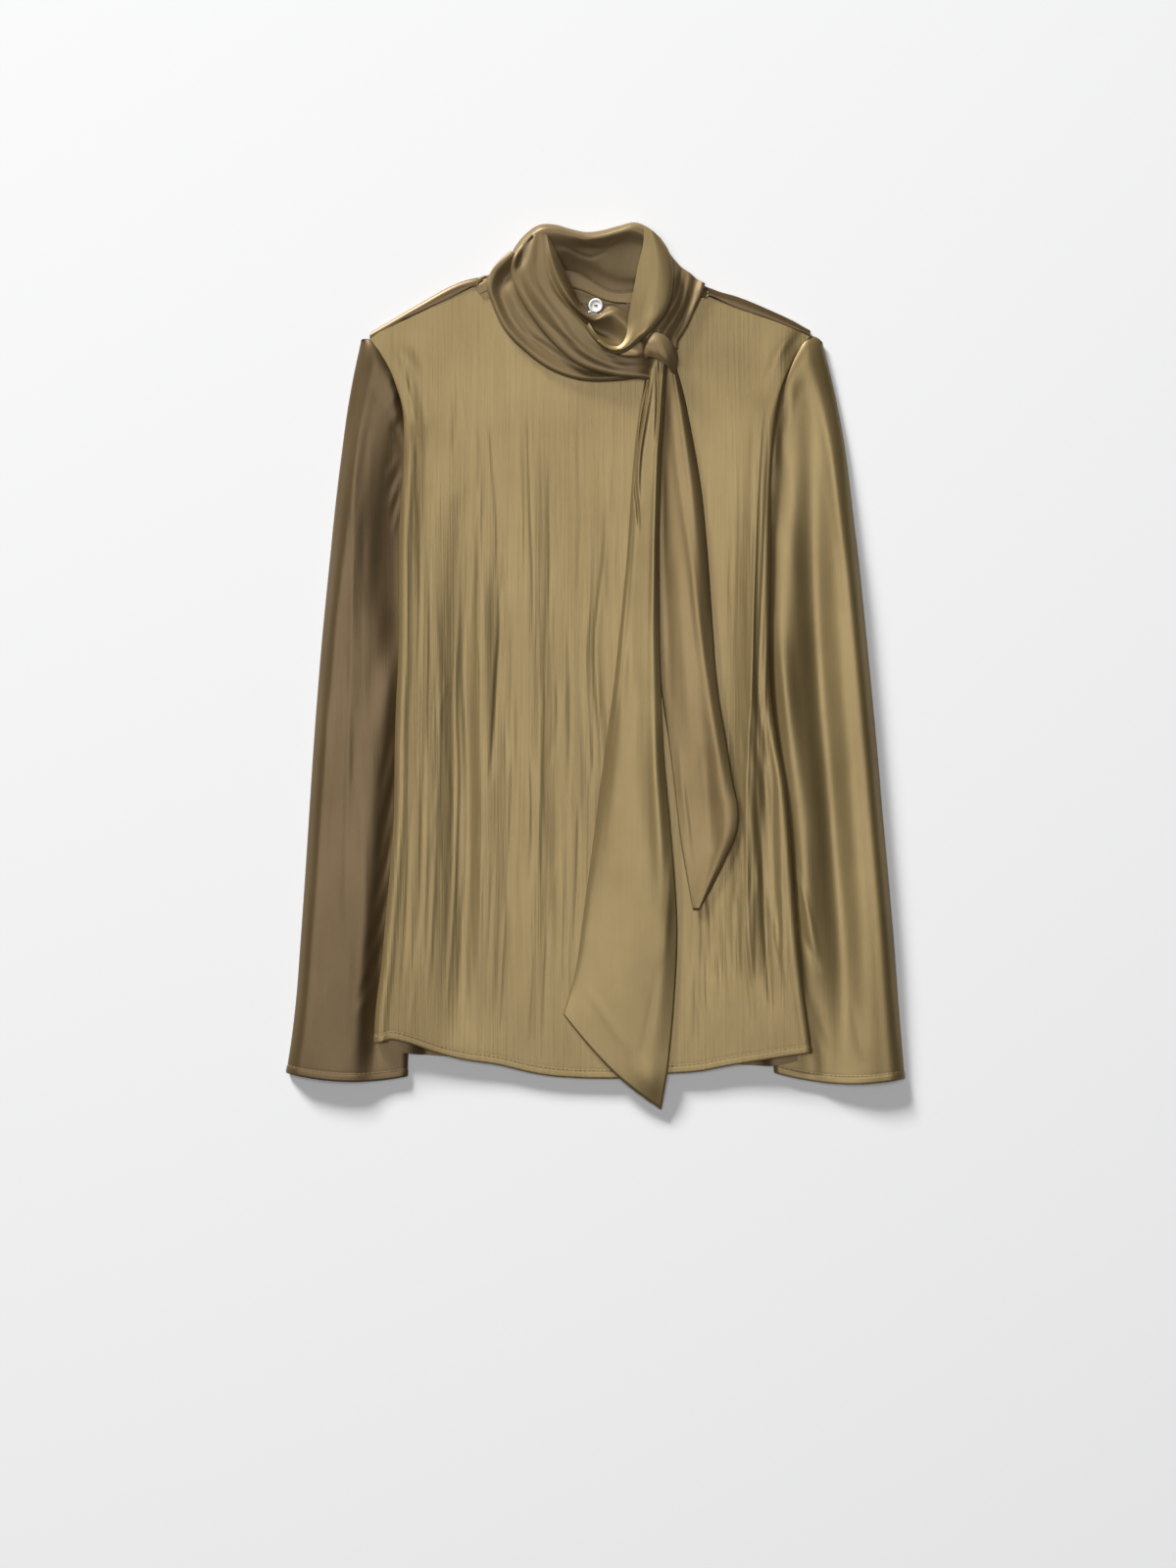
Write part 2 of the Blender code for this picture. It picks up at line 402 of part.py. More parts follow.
def cloth(name, grid, wall, material, closed=False, present=None):
    """A wall of cloth whose outer points are the grid. A closed grid joins its last row to its first."""
    rows, columns = grid.shape[:2]
    faces = []
    for i in range(rows if closed else rows - 1):
        for j in range(columns - 1):
            if present is None or present[i, j]:
                k = (i + 1) % rows
                faces.append((i * columns + j, i * columns + j + 1, k * columns + j + 1, k * columns + j))
    if not points_up(grid, faces):
        faces = [face[::-1] for face in faces]
    used = sorted({v for face in faces for v in face})
    place = {v: n for n, v in enumerate(used)}
    mesh = bpy.data.meshes.new(name)
    points = grid.reshape(-1, 3)[used] * MM
    mesh.from_pydata(points.tolist(), [], [[place[v] for v in face] for face in faces])
    mesh.materials.append(material)
    mesh.shade_smooth()
    piece = bpy.data.objects.new(name, mesh)
    bpy.data.collections["Blouse"].objects.link(piece)
    shell = piece.modifiers.new("Wall", "SOLIDIFY")
    shell.thickness = wall * MM
    shell.offset = -1.0
    shell.use_quality_normals = True
    return piece


def tucked(x, y):
    """The most that a sleeve may rise beside and under the body's folded sides."""
    right, left = side(SIDE_RIGHT, "edge", y), side(SIDE_LEFT, "edge", y)
    outside = np.maximum(right - x, x - left)
    starts = np.where(x < 0, TURN_STARTS["right"], TURN_STARTS["left"])
    free = 30 * soft_step(starts + 2, starts + 34, y)
    return TUCK_HEIGHT + 0.9 * np.maximum(outside - 5, 0) + free


def sleeve_grid(sections, armhole, folds, stations, steps):
    """Rings round one sleeve from the cuff to the armhole, each along the upper layer and back along the lower."""
    keys = np.linspace(0, 1, len(sections))
    at = np.linspace(0, 1, stations)
    outer = np.array([smooth(keys, [s["outer"][i] for s in sections], at) for i in (0, 1)]).T
    inner = np.array([smooth(keys, [s["inner"][i] for s in sections], at) for i in (0, 1)]).T
    sag = smooth(keys, column(sections, "sag"), at)
    share = smooth(keys, column(sections, "armhole"), at)
    heights = np.array([smooth(keys, [s["heights"][i] for s in sections], at) for i in range(len(HEIGHT_PLACES))]).T
    turn = np.linspace(0, np.pi, steps + 1)
    place = (1 - np.cos(turn)) / 2
    curve = through(np.array(armhole, float), place)
    bow = curve - (curve[0] + place[:, None] * (curve[-1] - curve[0]))
    edge = TUCK_HEIGHT / 2
    full = np.sin(turn) ** 0.45
    rings = []
    for k in range(stations):
        plan = outer[k] + place[:, None] * (inner[k] - outer[k]) + share[k] * bow
        plan[:, 1] -= sag[k] * np.sin(turn) ** 2
        top = smooth(HEIGHT_PLACES, heights[k], place)
        top = top + fold_height(folds, plan[:, 0], plan[:, 1]) * np.clip((top - TUCK_HEIGHT) / 4, 0, 1)
        top = np.minimum(edge + (top - edge) * full, tucked(plan[:, 0], plan[:, 1]))
        upper = np.column_stack([plan, top])
        lower = np.column_stack([plan, edge * np.clip(1 - 1.25 * full, 0, 1)])
        rings.append(np.concatenate([upper, lower[-2:0:-1]]))
    return np.swapaxes(np.array(rings), 0, 1)


def side(table, name, y):
    return smooth(column(table, "y"), column(table, name), y)


def panel_plan(columns_at_top, rows, hem, top, inset):
    """Places in plan over a body panel, each column from the hem to the upper edge. inset keeps them in from
    the side edges, for the right and the left side."""
    first, last = columns_at_top[0], columns_at_top[-1]
    share = (np.array(columns_at_top, float) - first) / (last - first)

    def at_height(y):
        low = side(SIDE_RIGHT, "edge", y) + inset[0](y)
        high = side(SIDE_LEFT, "edge", y) - inset[1](y)
        return low + share * (high - low)

    ends = []
    for edge in (hem, top):
        edge = np.array(edge, float)
        y = np.full(len(share), edge[:, 1].mean())
        for _ in range(12):
            y = (y + smooth(edge[:, 0], edge[:, 1], at_height(y))) / 2
        ends.append(y)
    y = ends[0] + np.asarray(rows)[:, None] * (ends[1] - ends[0])
    return at_height(y), y, share


def front_height(share, x, y):
    levels = np.array([smooth(column(FRONT_HEIGHTS, "y"), [r["heights"][i] for r in FRONT_HEIGHTS], y)
                       for i in range(len(FRONT_PLACES))])
    height = np.zeros_like(x)
    for i in np.ndindex(x.shape):
        height[i] = smooth(FRONT_PLACES, levels[(slice(None),) + i], share[i])
    edges = np.clip(np.minimum(share, 1 - share) / 0.04, 0.25, 1)
    return height + fold_height(FRONT_FOLDS, x, y) * edges


def turn_radius(starts):
    """The radius that a fold leaves in plan: full below the place where the cloth starts to be turned under."""
    return lambda y: 3.6 * soft_step(starts + 22, starts - 30, y)


def front_grid(pile):
    """The front: its face, and at each side the fold and the cloth turned under as far as the side seam."""
    rows = np.insert(BODY_ROWS, 1, HEM_ROW)
    insets = turn_radius(TURN_STARTS["right"]), turn_radius(TURN_STARTS["left"])
    x, y, share = panel_plan(FRONT_COLUMNS, rows, FRONT_HEM, FRONT_TOP, insets)
    z = front_height(np.broadcast_to(share, x.shape), x, y)
    z = np.maximum(z, pile.height(x, y) + LAY_GAP + CLOTH)
    face = np.dstack([x, y, z])
    sides, present_sides = [], []
    for table, starts, edge, sign in (
        (SIDE_RIGHT, TURN_STARTS["right"], face[:, 0], 1),
        (SIDE_LEFT, TURN_STARTS["left"], face[:, -1], -1),
    ):
        radius = turn_radius(starts)(edge[:, 1]) + 0.3
        width = side(table, "turned", edge[:, 1])
        low = TUCK_HEIGHT + LAY_GAP
        half = (edge[:, 2] - low) / 2
        strips = []
        for angle in np.linspace(0, np.pi, TURN_STEPS + 1)[1:]:
            strips.append(np.column_stack([
                edge[:, 0] - sign * radius * np.sin(angle),
                edge[:, 1],
                low + half * (1 + np.cos(angle)),
            ]))
        seam = edge[:, 0] + sign * np.maximum(width - radius, 1.0)
        strips.append(np.column_stack([seam, edge[:, 1], np.full(len(edge), low)]))
        strips = np.array(strips).swapaxes(0, 1)
        below = edge[:, 1] < starts
        sides.append(strips)
        present_sides.append(np.repeat((below[:-1] & below[1:])[:, None], strips.shape[1], axis=1))
    grid = np.concatenate([sides[0][:, ::-1], face, sides[1]], axis=1)
    inside = np.ones((len(rows) - 1, face.shape[1] - 1), bool)
    present = np.concatenate([present_sides[0], inside, present_sides[1]], axis=1)
    return grid, present, face


def shoulder_height(x):
    return smooth(SHOULDER_PLACES, SHOULDER_HEIGHTS, np.abs(x))


def back_inset(table):
    """How far the back's side edge lies in from the body's edge."""
    return lambda y: side(table, "turned", y) + SEAM_GAP


def back_grid(pile):
    """The back, outer side down: flat from the hem, then over the shoulders to the shoulder seams."""
    columns = np.array(BACK_COLUMNS, float)
    top = np.array(BACK_TOP, float)
    shoulder = (columns <= NECK_RIGHT) | (columns >= NECK_LEFT)
    radius = np.where(shoulder, shoulder_height(columns) / 2, 0.0)
    fold = list(zip(columns, smooth(top[:, 0], top[:, 1], columns) - radius))
    x, y, _ = panel_plan(BACK_COLUMNS, BODY_ROWS, BACK_HEM, fold, (back_inset(SIDE_RIGHT), back_inset(SIDE_LEFT)))
    below = pile.height(x, y)
    z = np.where(below > 0, below + LAY_GAP, 0.0)
    flat = np.dstack([x, y, z])
    line = flat[-1]
    radius = np.where(shoulder, shoulder_height(line[:, 0]) / 2, 0.0)
    over = []
    for angle in np.linspace(0, np.pi, TURN_STEPS + 1)[1:]:
        over.append(np.column_stack([
            line[:, 0],
            line[:, 1] + radius * np.sin(angle),
            radius * (1 - np.cos(angle)),
        ]))
    seam = np.array(FRONT_TOP, float)
    seam_y = smooth(seam[:, 0], seam[:, 1], line[:, 0]) + SEAM_GAP
    over.append(np.column_stack([line[:, 0], np.minimum(seam_y, line[:, 1] - 0.8), 2 * radius]))
    grid = np.concatenate([flat, np.array(over)])
    present = np.ones((grid.shape[0] - 1, grid.shape[1] - 1), bool)
    present[len(BODY_ROWS) - 1:] = (columns[1:] <= NECK_RIGHT) | (columns[:-1] >= NECK_LEFT)
    return grid, present


def strip_grid(sections, pile, wall, stations, steps, sag=0.0):
    """One end of the scarf, laid over the pile: rows along it, columns across."""
    keys = np.linspace(0, 1, len(sections))
    at = np.linspace(0, 1, stations)
    left = np.array([smooth(keys, [s["left"][i] for s in sections], at) for i in (0, 1)]).T
    right = np.array([smooth(keys, [s["right"][i] for s in sections], at) for i in (0, 1)]).T
    rise = np.array([smooth(keys, [s["rise"][i] for s in sections], at) for i in range(len(TIE_PLACES))]).T
    part = (1 - np.cos(np.linspace(0, np.pi, steps + 1))) / 2
    rows = []
    for k in range(stations):
        plan = left[k] + part[:, None] * (right[k] - left[k])
        plan[:, 1] -= sag * at[k] ** 12 * np.sin(np.pi * part)
        lift = smooth(TIE_PLACES, rise[k], part)
        base = pile.height(plan[:, 0], plan[:, 1]) + LAY_GAP + wall
        rows.append(np.column_stack([plan, base + lift]))
    return np.array(rows)


def loft(lines, along):
    """A grid whose rows are the named lines of a collar stretch, which all run the same way."""
    places = np.linspace(0, 1, along)
    return np.array([through(line, places) for line in lines.values()])


def with_rolled_rim(grid):
    """Puts a fold at the first row, whose cloth is turned under towards the second row."""
    rim = grid[0]
    inward = grid[1] - rim
    inward[:, 2] = 0
    inward /= np.linalg.norm(inward, axis=1)[:, None]
    down = np.array([0, 0, -1.0])
    rows = [rim + (ROLL_RADIUS + ROLL_RETURN) * inward + 2 * ROLL_RADIUS * down]
    for angle in np.radians([180, 120, 60]):
        rows.append(rim + ROLL_RADIUS * (1 - np.sin(angle)) * inward + ROLL_RADIUS * (1 - np.cos(angle)) * down)
    crest = rim + ROLL_RADIUS * inward
    return np.concatenate([rows, [crest], grid[1:]])


def over_pile(grid, pile, wall, rolled):
    """Raises a collar stretch where the cloth under it is higher, its rolled rim as one."""
    lift = pile.height(grid[..., 0], grid[..., 1]) + LAY_GAP + wall - grid[..., 2]
    if rolled:
        lift[:4] -= wall
        lift[:5] = lift[:5].max(axis=0)
    raised = grid.copy()
    raised[..., 2] += np.maximum(lift, 0.0)
    return raised


def button(name, x, y, z, material):
    """A flat button with a dished face, leaning on the cloth."""
    bpy.ops.mesh.primitive_cylinder_add(
        vertices=20, radius=BUTTON_DIAMETER / 2 * MM, depth=BUTTON_THICKNESS * MM,
        location=(x * MM, y * MM, z * MM), rotation=(BUTTON_TILT, 0, 0),
    )
    piece = bpy.context.object
    piece.name = piece.data.name = name
    edge = piece.modifiers.new("Rounded edge", "BEVEL")
    edge.width = 0.5 * MM
    edge.segments = 1
    piece.data.materials.append(material)
    piece.data.shade_smooth()
    move_to_blouse(piece)
    return piece


def binding(material):
    """The rolled seam binding inside the back neck."""
    curve = bpy.data.curves.new("neck_binding", "CURVE")
    curve.dimensions = "3D"
    curve.bevel_depth = BINDING_DIAMETER / 2 * MM
    curve.bevel_resolution = 2
    curve.use_fill_caps = True
    spline = curve.splines.new("POLY")
    points = through(NECK_BINDING, np.linspace(0, 1, 15))
    spline.points.add(len(points) - 1)
    for point, (x, y, z) in zip(spline.points, points):
        point.co = (x * MM, y * MM, z * MM, 1)
    curve.materials.append(material)
    piece = bpy.data.objects.new("neck_binding", curve)
    bpy.data.collections["Blouse"].objects.link(piece)
    return piece


def move_to_blouse(piece):
    for home in piece.users_collection:
        home.objects.unlink(piece)
    bpy.data.collections["Blouse"].objects.link(piece)


def clear_scene():
    for thing in list(bpy.data.objects):
        bpy.data.objects.remove(thing)
    blouse = bpy.data.collections.new("Blouse")
    bpy.context.scene.collection.children.link(blouse)


def inside_folds(x, y):
    return (x > side(SIDE_RIGHT, "edge", y)) & (x < side(SIDE_LEFT, "edge", y))


def under_back(x, y):
    return inside_folds(x, y) & (y < UNDERARM_Y - 6)


def under_front(x, y):
    return inside_folds(x, y) & (y < TURN_STARTS["right"])


# The stretches of the collar, in the order in which they are laid: their lines, the steps along them, whether
# the rim is rolled, and how far the stretch sinks until it is sewn or rests on its neighbour. The tie's ends
# come between the two lists.
COLLAR_BELOW = {
    "collar_back": (COLLAR_BACK, 18, False, 0.0),
    "collar_under": (COLLAR_UNDER, 18, True, 0.75),
    "collar_roll": (COLLAR_ROLL, 18, True, 1.45),
}
COLLAR_ABOVE = {
    "collar_end": (COLLAR_END, 9, True, 1.3),
    "knot": (KNOT, 11, False, 4.0),
    "collar_flap": (COLLAR_FLAP, 17, True, 3.2),
}


def lay_collar(stretches, pile, material):
    for name, (lines, along, rolled, sinks) in stretches.items():
        grid = loft(lines, along)
        if rolled:
            grid = with_rolled_rim(grid)
        grid = over_pile(grid, pile, CLOTH, rolled) - [0, 0, sinks]
        cloth(name, grid, CLOTH, material)
        pile.lay(grid)


def main():
    clear_scene()
    satin = finish("satin", *SATIN)
    pearl = finish("pearl", *PEARL)

    right = sleeve_grid(SLEEVE_RIGHT, ARMHOLE_RIGHT, SLEEVE_RIGHT_FOLDS, SLEEVE_STATIONS, SLEEVE_STEPS)
    left = sleeve_grid(SLEEVE_LEFT, ARMHOLE_LEFT, SLEEVE_LEFT_FOLDS, SLEEVE_STATIONS, SLEEVE_STEPS)
    cloth("sleeve_right", right, CLOTH, satin, closed=True)
    cloth("sleeve_left", left, CLOTH, satin, closed=True)

    sleeves = Pile(BODY_SLOPE)
    sleeves.lay(right, under_back)
    sleeves.lay(left, under_back)
    back, back_present = back_grid(sleeves)
    cloth("back", back, CLOTH, satin, present=back_present)

    body = Pile(BODY_SLOPE)
    body.lay(right, under_front)
    body.lay(left, under_front)
    body.lay(back[: len(BODY_ROWS)] + [0, 0, CLOTH])
    front, front_present, face = front_grid(body)
    cloth("front", front, CLOTH, satin, present=front_present)

    pile = Pile(TIE_SLOPE)
    pile.lay(face)
    short = strip_grid(TIE_SHORT, pile, TIE_CLOTH, 20, 7)
    cloth("tie_short", short, TIE_CLOTH, satin)
    pile.lay(short)
    long = strip_grid(TIE_LONG, pile, TIE_CLOTH, 32, 8, TIE_LONG_SAG)
    cloth("tie_long", long, TIE_CLOTH, satin)

    pile = Pile(COLLAR_SLOPE)
    pile.lay(face)
    lay_collar(COLLAR_BELOW, pile, satin)
    pile.lay(short)
    pile.lay(long)
    lay_collar(COLLAR_ABOVE, pile, satin)

    for name, (x, y, z) in BUTTONS.items():
        button(name, x, y, z, pearl)
    binding(satin)


main()
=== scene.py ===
"""Looks of the laid satin blouse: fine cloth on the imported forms, its creases, sewing, light and camera.

Sides are named as worn, so the right sleeve is at -X. Sizes are in millimetres, and MM makes them metres.
"""

import bpy
import numpy as np
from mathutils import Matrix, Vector


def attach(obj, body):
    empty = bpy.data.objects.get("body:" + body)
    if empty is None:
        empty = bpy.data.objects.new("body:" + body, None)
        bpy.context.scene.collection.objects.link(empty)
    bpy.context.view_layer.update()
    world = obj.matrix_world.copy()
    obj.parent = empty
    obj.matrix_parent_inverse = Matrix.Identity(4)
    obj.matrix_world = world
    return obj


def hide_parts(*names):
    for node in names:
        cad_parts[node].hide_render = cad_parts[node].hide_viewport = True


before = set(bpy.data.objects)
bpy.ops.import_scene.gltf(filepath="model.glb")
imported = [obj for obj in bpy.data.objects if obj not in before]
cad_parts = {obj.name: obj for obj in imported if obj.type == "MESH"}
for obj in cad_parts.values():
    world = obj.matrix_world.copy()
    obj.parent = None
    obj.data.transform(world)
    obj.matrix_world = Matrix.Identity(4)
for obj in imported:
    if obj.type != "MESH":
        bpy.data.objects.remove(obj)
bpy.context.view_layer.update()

MM = 0.001


def named(columns, *rows):
    """Rows whose values go by the names of the columns."""
    return [dict(zip(columns.split(), row)) for row in rows]


def crease_lines(*rows):
    """Creases listed one by one. Each row is half the width, the height (a groove is below 0), how much wider
    the left side is than the right one, as seen along the path, and then the path in plan."""
    return [dict(width=width, height=height, lean=lean, path=path) for width, height, lean, *path in rows]


# Looks
THIN = 0.6  # one layer of satin as it is drawn
TIE_THIN = 1.0  # the scarf's double cloth
SATIN_DARK = (0.206, 0.146, 0.060, 1)
SATIN_LIGHT = (0.272, 0.199, 0.087, 1)
SATIN_GLOSS = (0.5, 0.4)  # how much of the light the satin mirrors in its own colour, and how roughly
WOUND_GLOSS = (0.3, 0.47)  # the same where it is wound and gathered
# The satin's looks: how deep its streaks are, in metres, and their share in its colour, then a tint of
# painted light and shade that lightens or darkens each piece's copy of the satin, and the gloss
SATINS = {
    "satin_crinkled": (0.0004, 0.5, (1.02, 1.02, 1.02), SATIN_GLOSS),  # the front, a touch lighter as painted light
    "satin": (0.00012, 0.15, (1, 1, 1), SATIN_GLOSS),
    "satin_painted_shade": (0.00012, 0.15, (0.51, 0.462, 0.48), SATIN_GLOSS),  # the right sleeve and the back, darkened and reddened as painted shade
    "satin_wound_painted_shade": (0.00012, 0.15, (0.78, 0.74, 0.755), WOUND_GLOSS),  # the scarf's wraps: less glossy, and darkened as painted shade
    "satin_light_painted_shade": (0.00012, 0.15, (0.90, 0.87, 0.88), SATIN_GLOSS),  # the short hanging end, a little darkened as painted shade
}
PEARL = ((0.72, 0.71, 0.68, 1), (0.93, 0.92, 0.90, 1))
THREAD = (0.170, 0.122, 0.055, 1)
FLOOR = (0.88, 0.88, 0.885, 1)
WORLD_STRENGTH = 0.05
FLOOR_REACH, FLOOR_LEVEL = 6.0, -0.0004  # in metres
HEM_WIDTH = 7.0
HEM_RISE, HEM_SINK = 0.45, 0.5  # how far the band stands out, and how deep its stitch line pulls in
STITCH, STITCH_GAP = 2.6, 1.2
STITCH_RADIUS = 0.28
STITCH_SIDES = 6
# Rings of a stitch: the place along it, the share of its radius, and how far it dips into the cloth
STITCH_PROFILE = ((0, 0.4, 0.3), (0.2, 1.0, 0.05), (0.5, 1.1, 0.0), (0.8, 1.0, 0.05), (1, 0.4, 0.3))

# Each light: its name, its place and size in metres, and its power
LIGHTS = [
    ("key", (-7.2, 11.7, 4.5), (3.8, 2.5), 4000),
    ("overhead", (-0.3, 0.2, 5.0), (2.5, 2.5), 96),
]

# The camera looks straight down. The frame is the photo's, in metres.
CAMERA_HEIGHT = 4.0
FRAME_HEIGHT = 1.36
FRAME_CENTRE = (-0.0064, -0.1017)
SENSOR_HEIGHT = 36.0  # millimetres

# Cloth
CLOTH = 1.2  # one layer of satin
TIE_CLOTH = 1.6  # the scarf, which is cut double
SEAM_GAP = 0.4  # between pieces that are sewn edge to edge
ALLOWANCE = 4.0  # how far a sleeve's edge runs on under the body at the armhole
ALLOWANCE_DIP, ALLOWANCE_RISE = 2.2, 1.6  # how far it moves towards the sleeve's middle height at the most
LAY_GAP = 0.5  # between a piece and what it lies on
TUCK_HEIGHT = 5.2  # top of a sleeve where the body lies on it
TUCK_FREE = 30  # how much higher a sleeve may be where no fold holds it down
TUCK_SLOPE = 1.2  # how steeply a sleeve rises beside the fold
FULLNESS = 0.3  # how round a sleeve and a shoulder fold are: 1 is a half circle, less is fuller
FOLD_REACH = 3.6  # how far a fold's cloth turns in from its outer edge, in plan
FOLD_ENDS = (22, -30)  # a fold runs out between these heights over the end of the turned-under cloth
BODY_SLOPE, TIE_SLOPE, COLLAR_SLOPE = 0.4, 0.2, 1.5  # how steeply cloth comes down from what it lies on

# How finely the cloth is divided
SLEEVE_STATIONS = 17
SLEEVE_STEPS = 11  # across one layer of the sleeve
BODY_ROWS = np.concatenate([np.linspace(0, 0.7, 14), np.linspace(0.733, 1, 13)])  # from the hem to the top
HEM_ROW = 0.012  # one more row on the front, close to the hem
TURN_STEPS = 6  # round a folded edge

# The armhole seam in plan, from the shoulder tip to the underarm
ARMHOLE_RIGHT = [
    (-203, 283), (-196, 281.5), (-187, 271), (-179, 257), (-173, 241), (-169, 228), (-166.5, 216),
    (-160, 190), (-150, 158), (-134, 118),
]
ARMHOLE_LEFT = [
    (197, 280), (191, 284), (184, 281.5), (176.5, 271), (168, 257), (164, 247), (156.5, 228), (151, 201),
    (143.5, 165), (131, 118),
]

# Each row is one section of a sleeve, from the cuff to the armhole: its outer and inner edge in plan, how far
# the section bows towards the cuff, how much of the armhole's curve it takes, and the height of the upper
# layer at HEIGHT_PLACES across it.
HEIGHT_PLACES = (0.0, 0.08, 0.34, 0.52, 0.66, 1.0)
SLEEVE_RIGHT = named(
    "outer inner sag armhole heights",
    ((-268, -352), (-163, -355), 6, 0, (5, 10.5, 10.5, 10, 8, 5)),
    ((-261, -304), (-161, -306), 3, 0, (5, 12.5, 12, 11.5, 10, 5)),
    ((-255, -230), (-156, -230), 0, 0, (5, 13.5, 13, 12.5, 11, 5)),
    ((-249, -141), (-147, -141), 0, 0, (5, 14, 13.5, 13, 11.5, 5)),
    ((-243, -51), (-137, -51), 0, 0, (5, 14.5, 13.5, 12.5, 11, 5)),
    ((-236, 34), (-125, 34), 0, 0, (5, 15, 13.5, 11, 9, 5)),
    ((-231, 84), (-128, 62), 0, 0.1, (5, 16, 13, 7, 5, 5)),
    ((-226, 134), (-130, 83), 0, 0.3, (5, 16, 12, 6, 5, 5)),
    ((-220, 184), (-132, 98), 0, 0.5, (5, 15, 11, 5, 5, 5)),
    ((-213, 234), (-133, 110), 0, 0.75, (5, 13, 10, 5, 5, 5)),
    ((-203, 283), (-134, 118), 0, 1, (5, 9.4, 9.4, 5.4, 5, 5)),
)
SLEEVE_LEFT = named(
    "outer inner sag armhole heights",
    ((268, -357), (155, -352), 7, 0, (5, 11, 11, 9, 7, 5)),
    ((263, -298), (154, -304), 3, 0, (5, 13, 13, 11, 9, 5)),
    ((258, -230), (151, -230), 0, 0, (5, 14, 14, 12.5, 14.5, 7)),
    ((250, -141), (144, -141), 0, 0, (5, 14.5, 14.5, 12.5, 15, 7)),
    ((243, -60), (134, -56), 0, 0, (5, 14.5, 14.5, 12.5, 15, 7)),
    ((234, 34), (126, 34), 0, 0, (5, 14.5, 14.5, 12.5, 14.5, 7)),
    ((229, 84), (128, 62), 0, 0.1, (5, 14.5, 14, 12.5, 13.5, 6)),
    ((223, 134), (131, 83), 0, 0.3, (5, 14, 13.5, 12, 12, 5)),
    ((217, 184), (133, 98), 0, 0.5, (5, 13, 12.5, 10, 9, 5)),
    ((208, 234), (131, 110), 0, 0.75, (5, 12, 10.5, 7, 5.5, 5)),
    ((197, 280), (131, 118), 0, 1, (5, 9.4, 9.2, 5, 5, 5)),
)

# The side edges of the body: the fold below the armhole, then the armhole seam. "turned" is how far the front
# is turned under at the fold, to the side seam or to the hidden part of the armhole.
SIDE_RIGHT = named(
    "y edge turned",
    (-345, -191, 12),
    (-316, -191, 12),
    (-260, -185, 12),
    (-215, -181, 12),
    (-171, -177, 12),
    (-125, -174, 13),
    (-51, -173, 16),
    (23, -170, 24),
    (102, -170, 36.5),
    (118, -169.5, 37.5),
    (158, -167, 18),
    (190, -165.5, 6),
    (216, -166, 0),
    (228, -168, 0),
    (241, -172, 0),
    (257, -178, 0),
    (271, -186, 0),
    (281, -194.5, 0),
    (300, -198, 0),
)
SIDE_LEFT = named(
    "y edge turned",
    (-345, 188, 12),
    (-325, 186, 12),
    (-274, 179, 12),
    (-215, 173, 12),
    (-171, 170, 12),
    (-110, 165, 12),
    (-36, 153, 14),
    (15, 150, 16.5),
    (102, 151, 21.5),
    (118, 151, 22),
    (152, 151.5, 12),
    (201, 155, 4.5),
    (228, 158.5, 2),
    (247, 163, 0),
    (257, 167, 0),
    (271, 174, 0),
    (281, 180.5, 0),
    (284, 185, 0),
    (300, 190, 0),
)
UNDERARM_Y = 118
TURN_STARTS = {"right": 212, "left": 236}  # the fold is turned under below these heights

# Hems and upper edges in plan
FRONT_HEM = [
    (-195, -326), (-190, -326), (-177, -323), (-159, -327), (-136, -335), (-112, -341), (-85, -345),
    (-55, -352), (-25, -356), (11, -357), (36, -356), (61, -353), (88, -351), (114, -346), (138, -342),
    (163, -338), (190, -334),
]
BACK_HEM = [
    (-195, -328), (-181, -331), (-164, -335), (-91, -340), (0, -343), (79, -343), (150, -346), (195, -336),
]
FRONT_TOP = [
    (-200, 279), (-195, 284), (-187, 289.5), (-164, 300.5), (-142, 311), (-120, 321), (-101, 329.5),
    (-92, 327), (-84, 319), (-77, 300), (-58, 280), (-30, 264), (0, 258), (30, 262), (60, 283), (78, 306),
    (86, 316), (92, 320), (121, 310.5), (153, 299.5), (174, 291), (186, 285.5), (194, 280),
]
BACK_TOP = [
    (-204, 284), (-187, 294), (-151, 315), (-119, 332), (-101, 337), (-95, 335), (-60, 326), (-20, 320),
    (11, 318), (50, 322), (88, 330), (95, 329), (103, 326), (121, 321), (153, 308), (176, 297), (189, 288),
    (196, 279),
]
NECK_RIGHT, NECK_LEFT = -101.0, 92.0  # x of the neck points, where the shoulders end

# Columns of the two panels, by their x at the top
SHOULDER_COLUMNS_RIGHT = (-197, -187, -175, -163, -150, -137, -125, -113, -101)
SHOULDER_COLUMNS_LEFT = (92, 104, 117, 130, 142, 152, 161, 169, 177, 185)
FRONT_NECK_COLUMNS = (-91, -80, -62, -42, -21, 0, 20, 40, 58, 72, 82)
FRONT_COLUMNS = SHOULDER_COLUMNS_RIGHT + FRONT_NECK_COLUMNS + SHOULDER_COLUMNS_LEFT
BACK_COLUMNS = SHOULDER_COLUMNS_RIGHT + (-66, -33, 0, 30, 61) + SHOULDER_COLUMNS_LEFT

# Height of the front's face at five places across it
FRONT_PLACES = (0.0, 0.22, 0.5, 0.78, 1.0)
FRONT_HEIGHTS = named(
    "y heights",
    (-357, (13.5, 7.6, 6.2, 7.6, 13.5)),
    (-300, (14.5, 8, 6.4, 8, 14.5)),
    (-100, (15, 8.4, 6.4, 9, 15)),
    (100, (15, 8.8, 6.6, 9, 15)),
    (190, (13, 9.6, 8, 10, 14)),
    (216, (9.8, 10.4, 9.5, 10.5, 13)),
    (250, (9.6, 10.8, 11.5, 10.8, 9.8)),
    (285, (7.6, 10, 12, 10, 7.6)),
    (330, (7.6, 9, 11, 9, 7.6)),
)
# Height of the shoulder fold, from the neck point to the shoulder tip
SHOULDER_PLACES = (90, 150, 200)
SHOULDER_HEIGHTS = (10.5, 9.0, 6.4)

